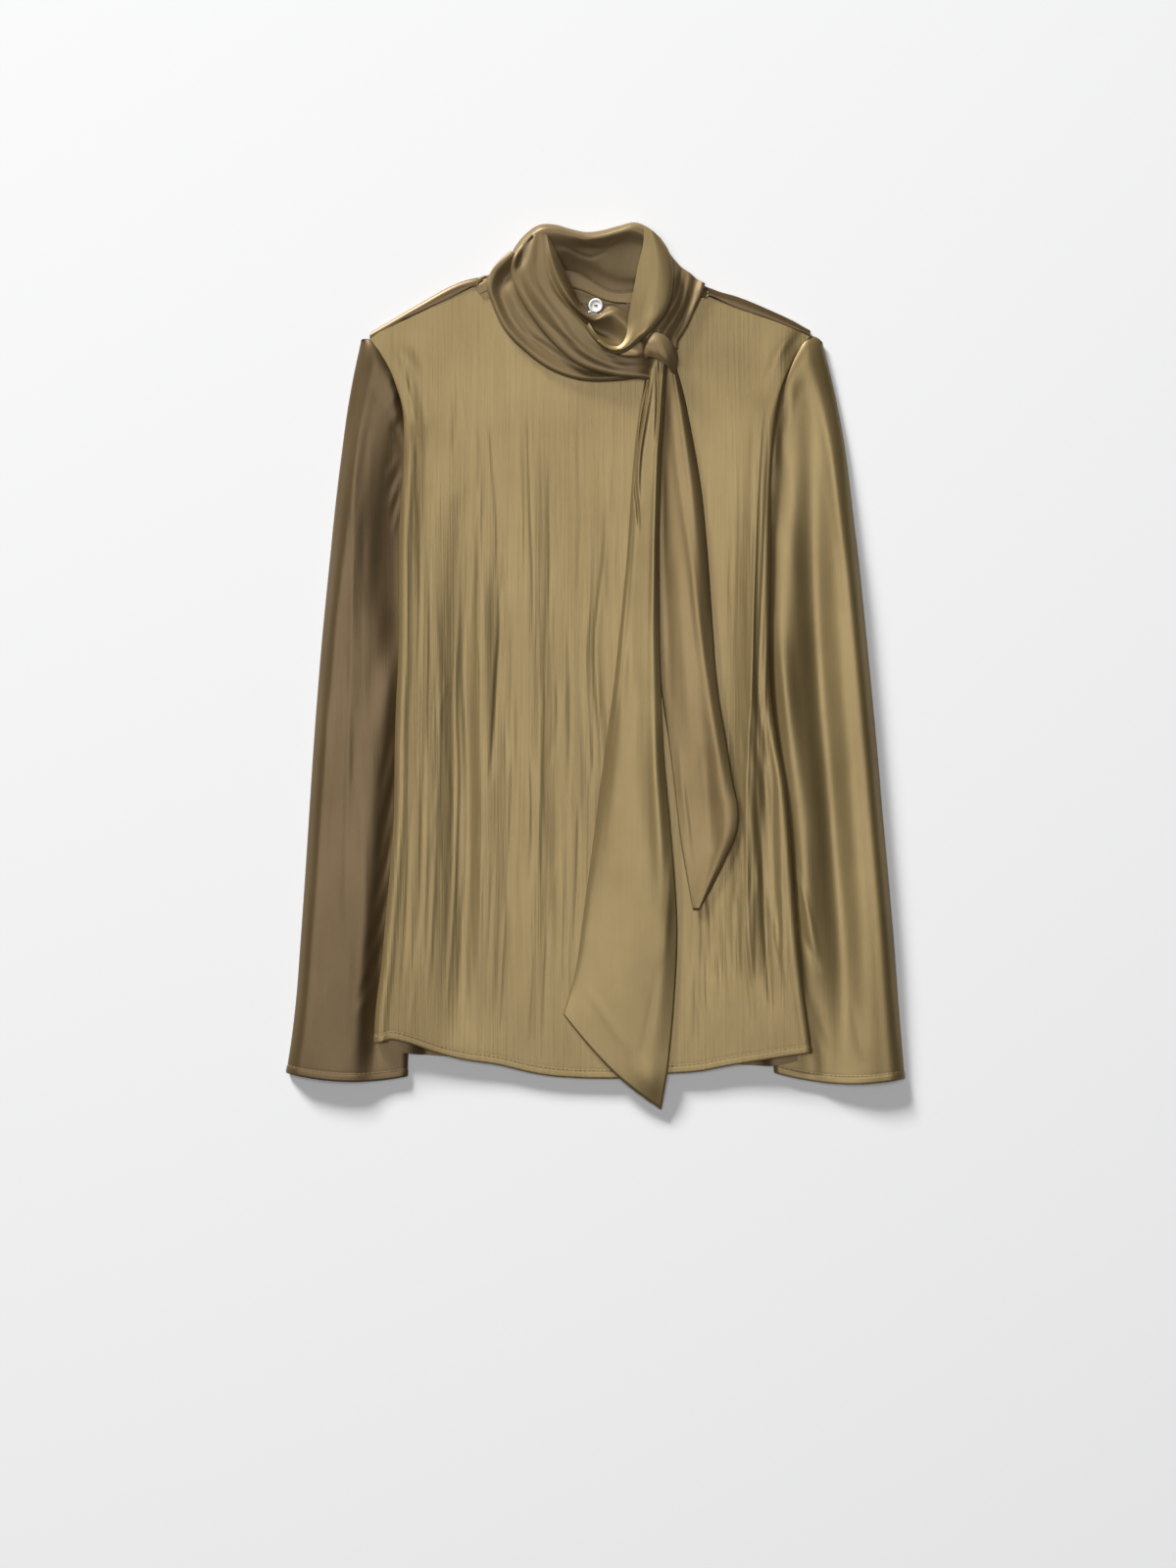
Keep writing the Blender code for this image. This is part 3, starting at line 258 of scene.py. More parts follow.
# Folds: where each starts and ends, half its width, its height over the face (a groove is below 0), and how
# much wider its +X side is than its -X side.
FRONT_FOLDS = named(
    "start end width height steep",
    ((-114, 150), (-117, -330), 15, -2.6, 0.7),
    ((-96, 120), (-94, -300), 12, 1.6, 1),
    ((-84, 90), (-82, -90), 7, -1.5, 1),
    ((-60, 200), (-52, -310), 14, 1.2, 1),
    ((-30, 160), (-26, -250), 12, -1.2, 1),
    ((3, 130), (-2, -200), 12, -2.2, 1),
    ((144, 230), (130, -270), 12, 3.2, 0.5),
    ((150, 60), (152, -300), 9, -2.6, 1.2),
    ((112, 120), (104, -260), 14, -1.4, 1),
    ((168, 300), (160, 215), 13, 3.6, 0.45),
    ((-168, 290), (-158, 180), 9, 1.6, 1),
    ((-150, 290), (-146, 60), 12, -1.2, 1),
)
SLEEVE_RIGHT_FOLDS = named(
    "start end width height steep",
    ((-206, 270), (-213, -200), 4, 0.5, 1),
    ((-190, 240), (-183, -260), 11, -1.4, 1),
    ((-205, -160), (-190, -350), 14, 1, 1),
)
SLEEVE_LEFT_FOLDS = named(
    "start end width height steep",
    ((160, 60), (184, -300), 13, 1, 1),
)

# The two ends of the scarf. Each row is a section across one end, from the knot down: its left and right edge
# in plan, and how high it rises over what it lies on, at TIE_PLACES across it.
TIE_PLACES = (0.0, 0.06, 0.35, 0.84, 1.0)
TIE_LONG = named(
    "left right rise",
    ((47, 272), (62, 268), (2, 4, 5, 5, 2)),
    ((45, 258), (61, 254), (1, 4.5, 5.2, 4.6, 1)),
    ((41.5, 238), (60, 236), (0.5, 4.8, 5.2, 4.4, 0.6)),
    ((38, 218), (59, 216), (0.4, 5, 5, 4.2, 0.6)),
    ((34, 186), (57, 184), (0.3, 5, 4.8, 4, 0.6)),
    ((31, 150), (56, 148), (0.3, 5, 4.8, 4, 0.6)),
    ((28, 105), (55, 100), (0.3, 5, 4.8, 4, 0.6)),
    ((23, 50), (55, 42), (0.3, 5, 4.8, 4, 0.6)),
    ((16, -17), (57, -28), (0.3, 5, 4.8, 4, 0.6)),
    ((8, -76), (60.5, -90), (0.3, 2.7, 4.6, 5.8, 0.5)),
    ((-1, -146), (67, -162), (0.3, 2.6, 4.4, 5.5, 0.5)),
    ((-10, -212), (71, -232), (0.3, 2, 3.2, 4, 0.5)),
    ((-16, -258), (68, -294), (0.3, 1.6, 2.4, 3, 0.6)),
    ((-22, -282), (63, -346), (0.4, 1.3, 1.8, 2.2, 0.8)),
    ((-28, -301), (57, -384), (0.6, 1.2, 1.2, 1.5, 1.2)),
)
TIE_SHORT = named(
    "left right rise",
    ((58, 262), (69, 262), (0.6, 1, 2.2, 3, 0.8)),
    ((55, 236), (76, 237), (0.2, 0.7, 2.9, 4, 0.6)),
    ((52, 200), (84, 198), (0.2, 0.8, 3.6, 5, 0.6)),
    ((51, 150), (92, 150), (0.2, 0.8, 3.6, 5, 0.6)),
    ((51, 95), (97, 98), (0.2, 0.8, 3.6, 5, 0.6)),
    ((51, 40), (101, 42), (0.2, 0.8, 3.6, 5, 0.6)),
    ((56, -14), (105, -12), (0.3, 0.9, 3.6, 5, 0.6)),
    ((63, -62), (112, -58), (1.2, 1.8, 3.6, 5, 0.6)),
    ((68.5, -106), (119, -101), (1.6, 2.1, 3.2, 4.5, 0.6)),
    ((73, -146), (124, -132), (1.6, 2.1, 2.9, 4, 0.8)),
    ((78.5, -180), (108, -177), (1.4, 1.8, 2.2, 3, 0.8)),
    ((84.5, -211), (90, -211), (1, 1.2, 1, 1.4, 0.8)),
)
TIE_LONG_SAG = 8.0  # how far the long end's cut edge bows out

# The collar: each stretch is a loft across these lines, which run the same way along its edges, ridges and
# grooves. A rim is an outer edge, whose cloth is turned under.
ROLL_RADIUS = 2.4
ROLL_RETURN = 3.0
COLLAR_BACK = dict(
    allowance=[(-100, 322, 4), (-82, 329, 1.8), (-56, 322, 1.6), (-20, 316, 1.6), (11, 314, 1.6),
        (46, 318, 1.6), (74, 326, 1.8), (96, 318, 4)],
    neck_seam=[(-103, 326, 4.5), (-82, 337, 0.8), (-56, 330, 0.4), (-20, 324, 0.4), (11, 322, 0.4),
        (46, 326, 0.4), (74, 334, 0.8), (98, 321, 4.5)],
    outside=[(-103, 329, 4), (-76, 341, 0.3), (-54, 350, 0), (-22, 352, 0), (12, 353, 0), (40, 352, 0),
        (68, 339, 0.3), (98, 323, 4)],
    turn=[(-102, 332, 5), (-72, 347, 3), (-57, 367, 1.5), (-24, 373, 1.5), (6, 372, 1.5), (38, 375, 1.5),
        (63, 348, 3), (97, 326, 5)],
    edge=[(-101, 335, 6.5), (-80, 346, 10), (-64, 371, 8), (-46, 383, 7.5), (-22, 379, 7), (-4, 376, 7),
        (18, 381, 7), (38, 384, 7), (52, 375, 8), (70, 350, 9), (96, 328, 7)],
    lip=[(-99, 336, 7.5), (-77, 345, 13.5), (-60, 367, 15), (-45, 378, 17), (-22, 374.5, 17), (-4, 371, 17),
        (18, 376, 17.5), (37, 379, 17.5), (49, 370, 16), (66, 348, 13), (94, 328, 8)],
    hollow=[(-97, 333, 7.5), (-68, 341, 11.5), (-48, 360, 12.5), (-20, 362, 12.8), (6, 362, 12.8),
        (28, 365, 13), (43, 361, 12.5), (60, 343, 11), (91, 326, 8)],
    ridge=[(-94, 329, 7), (-60, 336, 8.5), (-40, 352, 9.2), (-22, 355, 9.8), (-3, 349, 9), (10, 342, 8),
        (22, 338, 7), (38, 337, 6.8), (56, 337, 8), (88, 322, 7.5)],
    step=[(-93, 327, 6), (-58, 333, 6), (-39, 348, 7), (-20, 349.5, 7.2), (-3, 342.5, 6.4), (8.5, 336, 5.8),
        (21, 332.5, 5.2), (37, 332.5, 5), (54, 334, 6), (86, 320, 7)],
    ridge_foot=[(-91, 324, 6), (-55, 330, 4), (-39, 343, 4), (-18, 342, 4), (-3, 335, 4), (7, 329, 4),
        (20, 326, 3.8), (36, 327, 3.5), (52, 331, 4.5), (85, 318, 7)],
)
COLLAR_UNDER = dict(
    rim=[(-73, 359, 15), (-86, 347, 16), (-94, 333, 17.5), (-89, 312, 17.5), (-79, 291, 18), (-61, 272, 18),
        (-39, 256, 18.5), (-13, 247, 18.5), (14, 246, 18.5), (40, 248, 18.5)],
    groove=[(-65, 353, 12), (-75, 340, 13), (-81, 325, 14.5), (-75, 306, 15), (-64, 290, 15.5),
        (-47, 278, 16), (-30, 266, 16.5), (-9, 257, 16.5), (14, 254.5, 16.5), (39, 256, 16.5)],
    inner_fold=[(-61, 351, 12.5), (-68, 338, 14.5), (-72, 324, 16.5), (-66, 307, 17), (-55, 292, 17),
        (-41, 281, 17.5), (-25, 270, 17.5), (-7, 262, 17.5), (14, 259.5, 17), (38, 261, 17)],
    inner=[(-56, 349, 12), (-59, 336, 14), (-60, 322, 14.5), (-53, 308, 15), (-42, 296, 15.5),
        (-29, 286, 15.5), (-15, 277, 16), (0, 269, 16), (15, 266, 16), (37, 266, 16)],
)
COLLAR_ROLL = dict(
    rim=[(-57, 372, 21), (-69, 358, 21), (-73, 339, 22.5), (-66, 320, 23.5), (-53, 299, 24.5), (-36, 278, 25),
        (-14, 259.5, 25), (12, 251, 24.5), (41, 247.5, 24.5)],
    groove=[(-54, 372, 20.5), (-63, 355, 21.2), (-67, 338, 22.5), (-60, 322, 24.3), (-46, 303, 25.8),
        (-30, 283, 26), (-10, 265, 25.6), (12, 256, 24.8), (41, 252, 24)],
    hill=[(-51.5, 373, 21), (-56, 355, 23.6), (-59, 338, 25.2), (-50, 320, 27.4), (-37, 302, 28.6),
        (-24, 285, 28.6), (-8, 270, 27.8), (13, 260, 26), (41, 256.5, 24.3)],
    valley=[(-49, 373.5, 21), (-50, 353, 23.4), (-51, 336, 24.9), (-41, 319, 27), (-28, 302, 27.8),
        (-17, 286, 27.6), (-2, 273, 26.9), (15, 264, 25.2), (41, 261, 24)],
    second=[(-46.5, 373.5, 21), (-45, 352, 24.4), (-44, 336, 25.7), (-34, 319, 27.5), (-19, 303, 28),
        (-6, 290, 27.6), (7, 277, 27), (20, 268.5, 25.2), (41, 265.5, 24)],
    pouch=[(-44, 373, 21), (-41, 352, 25), (-38, 336, 26), (-29, 318, 25.5), (-14, 302, 21), (0, 290, 16),
        (15, 282, 15), (26, 276, 17.5), (41, 270, 21.5)],
    ridge=[(-41.5, 372, 21), (-38, 354, 26), (-33, 339, 27.5), (-24, 321, 28), (-13, 306, 25.5),
        (0, 299, 21.5), (14, 304, 21), (27, 294, 20.5), (41, 280, 21)],
    inside=[(-39, 370.5, 18.5), (-34, 357, 21.5), (-27, 343, 20.5), (-19, 326, 18.5), (-10, 310, 16),
        (0, 303.5, 13.5), (12, 311, 15), (21, 309, 15.5), (30, 300, 16), (41, 286, 17)],
)
COLLAR_FLAP = dict(
    rim=[(57, 369, 24), (64.5, 356, 26), (67, 340, 28), (66, 322, 30), (61, 306, 31.5), (52, 293, 32.5),
        (38, 279.5, 33), (26, 270, 33.5), (16, 268.5, 32.5), (7, 273, 31), (-2, 281.5, 29.5), (-9, 292, 28)],
    middle=[(49.5, 375, 26), (54, 358, 28.5), (54, 342, 30.5), (51, 326, 32), (47, 311, 33), (42, 299, 33),
        (34, 286, 33), (26, 275, 34), (16.5, 271.5, 33.5), (8, 275.5, 32), (-0.5, 283.5, 30.5),
        (-8, 293, 28.5)],
    inner=[(42, 380, 24), (41, 363, 25.5), (37, 347, 27), (34, 330, 28), (31, 315, 28.5), (28.5, 301, 29),
        (27, 289, 30), (24.5, 279.5, 32), (17, 274.5, 32), (9.5, 278, 30.5), (1, 285.5, 29), (-7, 294, 27.5)],
)
COLLAR_END = dict(
    rim=[(95, 331, 15), (91, 318, 16.5), (84, 303, 18), (78, 290, 19), (72, 280, 20.5), (71, 273, 21.5)],
    groove=[(88, 335, 12.5), (85, 322, 14.5), (79, 307, 16.5), (72, 294, 18.5), (67, 285, 20),
        (66, 277, 20.5)],
    ridge=[(82, 340, 14), (79, 325, 17), (74, 310, 20), (66, 297, 22.5), (60, 287, 24), (59, 280, 24)],
    groove_2=[(76, 344, 12), (74, 330, 14), (69, 315, 17), (60, 300, 20), (54, 290, 22), (52, 282, 22.5)],
    ridge_2=[(71, 347, 13), (69, 333, 16), (64, 318, 19.5), (55, 303, 22.5), (48, 292, 24), (45, 283, 24)],
    inner=[(66, 351, 10), (62, 336, 12), (57, 321, 15.5), (49, 306, 19), (41, 294, 21), (38, 282, 22)],
)
KNOT = dict(
    upper=[(42, 274, 26), (44, 281, 30), (51, 287, 32), (59, 285, 32.5), (66, 279, 30), (70, 273, 25)],
    crown=[(41, 270, 27), (44, 275, 32), (51, 278, 34.5), (60, 273, 35), (67.5, 267, 31.5), (71.5, 263, 26)],
    middle=[(41.5, 266, 27), (44.5, 270, 32), (51, 271, 34.8), (59.5, 266, 35), (66.5, 260.5, 31.5),
        (70, 257, 26)],
    lower=[(42, 262, 25), (44.5, 266, 30), (51, 265.5, 33), (59, 260.5, 33), (65, 255, 29.5), (68, 252, 24)],
)

# The two buttons of the back opening
BUTTONS = {"button_upper": (0.3, 312.6, 7.2), "button_lower": (-3.2, 302.5, 3.4)}
BUTTON_TILT = 0.12  # radians, towards the collar
BUTTON_SIDES = 36
SEWN_HALF, SEWN_APART, SEWN_LENGTH = 2.2, 0.5, 3.4  # the strands that sew a button on
# Radius and height of a button's section, from its underside over the rim into the dished middle
BUTTON_PROFILE = [
    (4.6, -1), (5.7, -0.8), (6.2, -0.2), (6.2, 0.4), (5.8, 0.85), (5.2, 1), (4.6, 0.85), (4.1, 0.5),
    (3.4, 0.35), (1.2, 0.3),
]

FRONT_CREASES = crease_lines(
    (3.2, 0.9, 0.7, (-117.7, 109.1), (-118.6, 34.3), (-120.3, -16.7), (-119.4, -101.7), (-121.1, -169.7),
     (-124.5, -237.7), (-128.8, -297.2)),
    (4.5, -1.7, 2.2, (-109.2, 115.1), (-110.1, 68.3), (-113.5, 0.3), (-110.9, -67.7), (-110.1, -144.2),
     (-114.3, -220.7), (-116.9, -288.7)),
    (3, 0.6, 1, (-99, 170.3), (-100.7, 102.3), (-102.4, 34.3), (-98.2, -16.7)),
    (2.6, -1.3, 1.8, (-83.7, 68.3), (-82.9, 34.3), (-85.4, -8.2), (-88.8, -67.7), (-91.4, -101.7)),
    (2.6, -0.7, 1, (-92.2, 221.3), (-88, 170.3), (-84.6, 119.3), (-85.4, 76.8)),
    (3.4, 0.7, 1, (-77.8, 102.3), (-76.9, 34.3), (-79.5, -33.7), (-81.2, -93.2)),
    (2.4, -0.8, 1.2, (-122, 257), (-122.8, 221.3), (-122.8, 183.1)),
    (2.2, -0.5, 1, (-114.3, 244.3), (-110.9, 221.3), (-108.4, 200.1)),
    (2.6, 0.5, 1, (-105, 238.3), (-103.3, 178.8), (-105.8, 119.3)),
    (2.2, -0.7, 1, (-58.2, 221.3), (-55.7, 132.1), (-54, 68.3), (-54.8, 17.3)),
    (3, 0.5, 1, (-65.9, 212.8), (-64.2, 119.3), (-65.9, 34.3)),
    (1.8, -0.7, 1, (-33.6, -6.5), (-32.7, -42.2), (-33.6, -74.5)),
    (3, -0.5, 1, (-40.4, 170.3), (-38.7, 102.3), (-41.2, 25.8)),
    (3.2, 0.6, 1, (-46.3, -16.7), (-48, -101.7), (-49.7, -186.7)),
    (2.4, -0.7, 1.3, (-56.5, -67.7), (-54.8, -127.2), (-57.4, -195.2)),
    (2.6, -0.8, 1.3, (-71, -16.7), (-71.8, -93.2), (-74.4, -169.7)),
    (2.8, 0.6, 1, (-63.3, -42.2), (-64.2, -127.2), (-65.9, -220.7)),
    (4, -1.6, 1.6, (10.6, 136.3), (8.1, 93.8), (3.8, 59.8), (0.4, 25.8), (1.3, -16.7), (5.5, -64.3),
     (4.7, -127.2), (-1.3, -186.7)),
    (3.4, 0.9, 1, (-3.8, 119.3), (-4.7, 68.3), (-8.1, 17.3), (-6.4, -50.7), (-3.8, -101.7)),
    (2.6, -0.6, 1, (15.7, 178.8), (17.4, 119.3), (14.9, 68.3)),
    (2.8, -0.5, 1, (-14.9, 212.8), (-13.2, 136.3), (-14.9, 59.8)),
    (2.8, -0.7, 1, (-23.4, 34.3), (-21.7, -33.7), (-23.4, -110.2)),
    (2.8, -0.8, 1, (-14, -118.7), (-15.7, -186.7), (-19.1, -254.7)),
    (2.6, 0.5, 1, (-28.5, -152.7), (-29.3, -220.7), (-31, -280.2)),
    (2, -1, 1.5, (-161.9, 251.9), (-161.1, 236.6), (-160.2, 219.6)),
    (2.2, 0.7, 1, (-170.4, 279.1), (-166.2, 259.6), (-161.9, 240), (-156, 212.8)),
    (2.4, -0.5, 1, (-152.6, 153.3), (-151.7, 68.3), (-153.4, -16.7)),
    (2.8, -0.5, 1, (-144.1, 102.3), (-142.4, 17.3), (-144.9, -67.7)),
    (2.6, 0.5, 1, (-136.4, 51.3), (-134.7, -33.7), (-137.3, -118.7)),
    (2.8, -0.6, 1.2, (-148.3, -67.7), (-150, -152.7), (-152.6, -237.7)),
    (2.8, 0.6, 1, (-138.1, -144.2), (-140.7, -212.2), (-144.9, -280.2)),
    (2.6, -0.6, 1, (-159.4, -118.7), (-162.8, -203.7), (-167, -280.2)),
    (2.8, 0.6, 1, (-98.2, -152.7), (-99.9, -212.2), (-101.6, -280.2)),
    (2.4, -0.6, 1, (-88.8, -169.7), (-91.4, -229.2), (-93.9, -297.2)),
    (2.4, 0.5, 1, (-78.6, -212.2), (-81.2, -263.2), (-83.7, -314.2)),
    (2.4, -0.6, 1, (-40.4, -212.2), (-42.9, -263.2), (-44.6, -322.7)),
    (2.4, 0.5, 1, (-54.8, -237.7), (-56.5, -280.2), (-59.1, -324.4)),
    (2.3, 2, 0.9, (144.9, 221.3), (142.4, 189.9), (137.3, 76), (134.7, -19.2), (132.2, -67.7),
     (130.5, -111.9), (131.3, -169.7), (132.2, -224.9), (136.4, -280.2)),
    (2, -0.9, 1, (150, 212.8), (147.5, 153.3), (144.1, 68.3), (140.7, -16.7), (139, -84.7), (139.8, -152.7)),
    (2, 0.9, 1, (154.3, 136.3), (150, 51.3), (145.8, -33.7), (143.2, -101.7)),
    (4.2, -1.5, 1, (139.8, -118.7), (144.1, -169.7), (147.5, -229.2), (151.7, -297.2)),
    (3, 1, 1, (157.7, -101.7), (160.2, -169.7), (161.9, -237.7), (166.2, -297.2)),
    (2.4, -0.8, 1, (152.6, -67.7), (154.3, -135.7), (156, -212.2)),
    (3, -0.4, 1, (122, 178.8), (120.3, 85.3), (118.6, -16.7)),
    (2.6, 0.7, 1, (112.6, -220.7), (114.3, -258.9), (117.7, -297.2)),
    (2.2, -0.7, 1, (106.7, -212.2), (107.5, -250.4), (109.2, -288.7)),
    (2.4, -0.8, 1.3, (122.8, -186.7), (122.8, -229.2), (125.4, -280.2)),
    (2.4, 0.5, 1, (98.2, -237.7), (98.2, -271.7), (99, -305.7)),
    (2.2, -0.6, 1, (92.2, -229.2), (91.4, -267.4), (90.5, -309.9)),
    (2.2, -0.8, 1, (128.8, -229.2), (132.2, -263.2), (136.4, -309.9)),
    (2.4, 0.5, 1, (83.7, -263.2), (82.9, -288.7), (82, -324.4)),
)
SLEEVE_RIGHT_CREASES = crease_lines(
    (2, 0.8, 0.8, (-205.3, 238.3), (-208.7, 136.3), (-210.4, 34.3), (-212.9, -67.7), (-215.5, -152.7),
     (-216.3, -237.7)),
    (4, -0.7, 1, (-198.5, 221.3), (-201, 119.3), (-202.7, 0.3), (-207, -101.7)),
    (1.6, -0.8, 1, (-175.5, 262.1), (-181.5, 255.3), (-189.1, 251.9)),
    (1.6, 0.7, 1, (-173, 255.3), (-178.1, 248.5), (-185.7, 244.3)),
    (1.6, -0.9, 1, (-170.4, 247.7), (-176.4, 240.9), (-184, 236.6)),
    (1.6, 0.7, 1, (-168.7, 239.2), (-174.7, 233.2), (-182.3, 229)),
    (1.6, -0.9, 1, (-167.9, 230.7), (-173, 224.7), (-180.6, 220.5)),
    (1.6, 0.7, 1, (-167.9, 221.3), (-172.1, 216.2), (-178.9, 212.8)),
    (1.5, -0.7, 1, (-167.9, 212.8), (-172.1, 207.7), (-178.1, 204.3)),
    (1.8, 0.8, 1, (-169.6, 180.5), (-174.7, 173.7), (-181.5, 163.5)),
    (1.8, -0.9, 1, (-169.6, 170.3), (-173.8, 161.8), (-179.8, 151.6)),
    (1.8, 0.8, 1, (-169.6, 160.1), (-173.8, 150.8), (-178.1, 139.7)),
    (1.8, -0.8, 1, (-169.6, 149.1), (-173, 139.7), (-176.4, 129.5)),
    (1.8, 0.7, 1, (-170.4, 136.3), (-173, 126.1), (-175.5, 114.2)),
    (2.2, -0.8, 1, (-173.8, -46.4), (-180.6, -80.4), (-186.6, -108.5)),
    (2.2, 0.7, 1, (-173.8, -67.7), (-179.8, -101.7), (-184.9, -131.4)),
    (2.4, -0.9, 1, (-174.7, -93.2), (-182.3, -135.7), (-188.3, -169.7)),
    (2.2, 0.8, 1, (-174.7, -118.7), (-181.5, -157.8), (-186.6, -190.9)),
    (2.6, -1, 1, (-175.5, -139.9), (-184, -178.2), (-192.5, -207.9)),
    (2.4, 0.8, 1, (-176.4, -162.9), (-184, -199.4), (-192.5, -229.2)),
    (2.6, -0.9, 1, (-178.9, -186.7), (-187.4, -222.4), (-198.5, -250.4)),
    (2.4, 0.7, 1, (-181.5, -212.2), (-190, -244.5), (-201, -271.7)),
    (2.6, -0.8, 1, (-184.9, -237.7), (-195.1, -268.3), (-206.1, -290.4)),
    (2.6, 0.6, 1, (-188.3, -263.2), (-198.5, -288.7), (-210.4, -305.7)),
    (3, -0.4, 1, (-221.4, -152.7), (-229.1, -186.7), (-239.3, -216.4)),
    (3, 0.4, 1, (-227.4, -263.2), (-235.9, -288.7), (-246.1, -309.9)),
)
SLEEVE_LEFT_CREASES = crease_lines(
    (15, -16, 1, (187, 250), (188, 196), (189, 132), (190.5, 68), (195, -17), (202, -102), (209, -187),
     (214, -260), (217, -368)),
    (2.6, 1.6, 0.8, (170.4, -169.7), (178.9, -194.3), (186.6, -224.9), (192.5, -250.4)),
    (2.4, -1.6, 1, (173.8, -212.2), (180.6, -233.4), (188.3, -253), (194.2, -264.9)),
    (2.4, 0.8, 1, (168.7, -190.9), (173.8, -212.2), (178.9, -237.7)),
    (1.8, -0.7, 1, (167, 238.3), (163.6, 221.3), (161.1, 204.3)),
    (2, 0.6, 1, (172.1, 242.6), (168.7, 221.3), (165.3, 195.8)),
    (1.8, -0.6, 1, (159.4, 212.8), (156.8, 191.6), (155.1, 170.3)),
    (3, -0.6, 1, (182.3, -280.2), (192.5, -314.2), (202.7, -338)),
    (3.4, 0.5, 1, (221.4, -288.7), (226.5, -318.4), (231.6, -341.4)),
)
TIE_LONG_CREASES = crease_lines(
    (1.3, -2.2, 0.6, (47, 262), (44.6, 238), (40.4, 213), (35.5, 185), (34, 160), (36.5, 138), (38, 118)),
    (1.6, 1.5, 1.2, (49, 262), (47, 238), (43, 213), (38.5, 185), (37, 160), (38.5, 138)),
    (1.5, 1.2, 0.8, (44.6, 255), (40, 232), (36.5, 205), (32.5, 180), (31.5, 158)),
    (1.4, -1.2, 0.8, (53, 264), (53.5, 230), (52, 190)),
    (3, 0.4, 1, (51.4, 170), (50.5, 102.3), (49, 34.3)),
    (2.2, -0.6, 1, (58.2, 200), (60, 153.3), (60, 68.3), (62, -16.7)),
    (6, 0.4, 1, (27.6, 34.3), (22.5, -50.7), (14.9, -135.7)),
    (7, -0.3, 1, (40.4, -67.7), (37.8, -152.7), (32.7, -237.7)),
    (3.4, -0.4, 1, (54.8, -254.7), (48, -297.2), (40.4, -339.7)),
    (2.4, 0.4, 1, (65, -161.2), (63.3, -203.7), (59.9, -254.7)),
    (4, 0.3, 1, (-6.4, -278.5), (10.6, -305.7), (31.9, -335.4)),
)
TIE_SHORT_CREASES = crease_lines(
    (4, 0.8, 0.8, (65, 238.3), (71.8, 170.3), (81.2, 102.3), (89.7, 34.3), (99.9, -33.7), (110.9, -101.7)),
    (3.6, -0.8, 1, (58.2, 178.8), (59.9, 102.3), (62.5, 34.3), (65, -33.7)),
    (6, 0.6, 1, (70.1, 102.3), (76.9, 17.3), (83.7, -67.7)),
    (5, -0.8, 1, (92.2, -67.7), (97.3, -118.7), (101.6, -161.2)),
    (2.6, 0.5, 1, (71.8, -67.7), (76.1, -110.2), (82, -152.7)),
    (2.2, -0.4, 1, (78.6, -101.7), (83.7, -144.2), (88.8, -178.2)),
)
COLLAR_CREASES = crease_lines(
    (1.8, -0.8, 1, (-80.3, 308), (-65.9, 287.6), (-47.2, 270.6), (-23.4, 257)),
    (1.6, 0.6, 1, (-72.7, 308), (-57.4, 285.1), (-35.3, 265.5)),
    (2, -0.8, 1, (-65.9, 348.8), (-60.8, 323.3), (-47.2, 301.2), (-23.4, 280.8), (2.1, 265.5)),
    (2.2, 0.6, 1, (-53.1, 355.6), (-50.6, 330.1), (-38.7, 308), (-18.3, 287.6)),
    (1.8, -0.7, 1, (-43.8, 365.8), (-40.4, 340.3), (-30.2, 319.1), (-13.2, 297.8)),
    (2, -0.8, 1, (-31.9, 365.8), (-19.1, 359), (-4.7, 353.9), (10.6, 359)),
    (2, 0.7, 1, (-20, 372.6), (-6.4, 365.8), (8.9, 364.1), (25.9, 371.8)),
    (1.6, 0.6, 1, (-8.1, 301.2), (3.8, 304.6), (15.7, 302.9)),
    (1.6, -0.6, 1, (-3, 279.1), (8.9, 270.6), (20.8, 274)),
    (1.5, -0.9, 1, (36.1, 285.9), (42.9, 279.1), (48, 272.3)),
    (1.5, 0.7, 1, (32.7, 279.1), (39.5, 272.3), (45.5, 266.4)),
    (1.8, -1, 1, (70.1, 348.8), (66.7, 323.3), (61.6, 297.8), (56.5, 284.2)),
    (1.6, 0.8, 1, (76.1, 342), (73.5, 319.1), (68.4, 297.8), (62.5, 284.2)),
    (1.6, -0.9, 1, (82, 336.9), (79.5, 314.8), (74.4, 296.1), (67.6, 282.5)),
    (1.5, 0.8, 1, (88, 331.8), (85.4, 313.1), (79.5, 293.6), (71.8, 279.1)),
    (1.5, -0.7, 1, (48, 280.8), (53.1, 268.9), (56.5, 255.3)),
    (1.5, 0.6, 1, (54.8, 283.4), (59.9, 272.3), (63.3, 258.7)),
    (3, 0.4, 1, (40.4, 365.8), (34.4, 331.8), (31.9, 297.8)),
    (2.4, -0.5, 1, (51.4, 357.3), (48, 323.3), (40.4, 294.4)),
)


def running(lengths):
    """How far along each point lies, from the lengths between the points."""
    return np.concatenate([[0.0], np.cumsum(lengths)])


def curve_between(values, tangent, k, t, step):
    """A curve's value at t between its points k and k + 1, which lie a step apart."""
    value = values[k] * (1 + 2 * t) * (1 - t) ** 2 + values[k + 1] * t**2 * (3 - 2 * t)
    return value + step * (tangent[k] * t * (1 - t) ** 2 - tangent[k + 1] * t**2 * (1 - t))


def smooth(keys, values, at):
    """Values between the keys, on a curve through them that doesn't overshoot."""
    keys, values, at = np.asarray(keys, float), np.asarray(values, float), np.asarray(at, float)
    step = np.diff(keys)
    slope = np.diff(values) / step
    tangent = np.zeros_like(values)
    same_way = slope[:-1] * slope[1:] > 0
    both = np.where(same_way, slope[:-1] + slope[1:], 1.0)
    tangent[1:-1] = np.where(same_way, 2 * slope[:-1] * slope[1:] / both, 0.0)
    tangent[0], tangent[-1] = slope[0], slope[-1]
    k = np.clip(np.searchsorted(keys, at, side="right") - 1, 0, len(step) - 1)
    t = np.clip((at - keys[k]) / step[k], 0.0, 1.0)
    return curve_between(values, tangent, k, t, step[k])


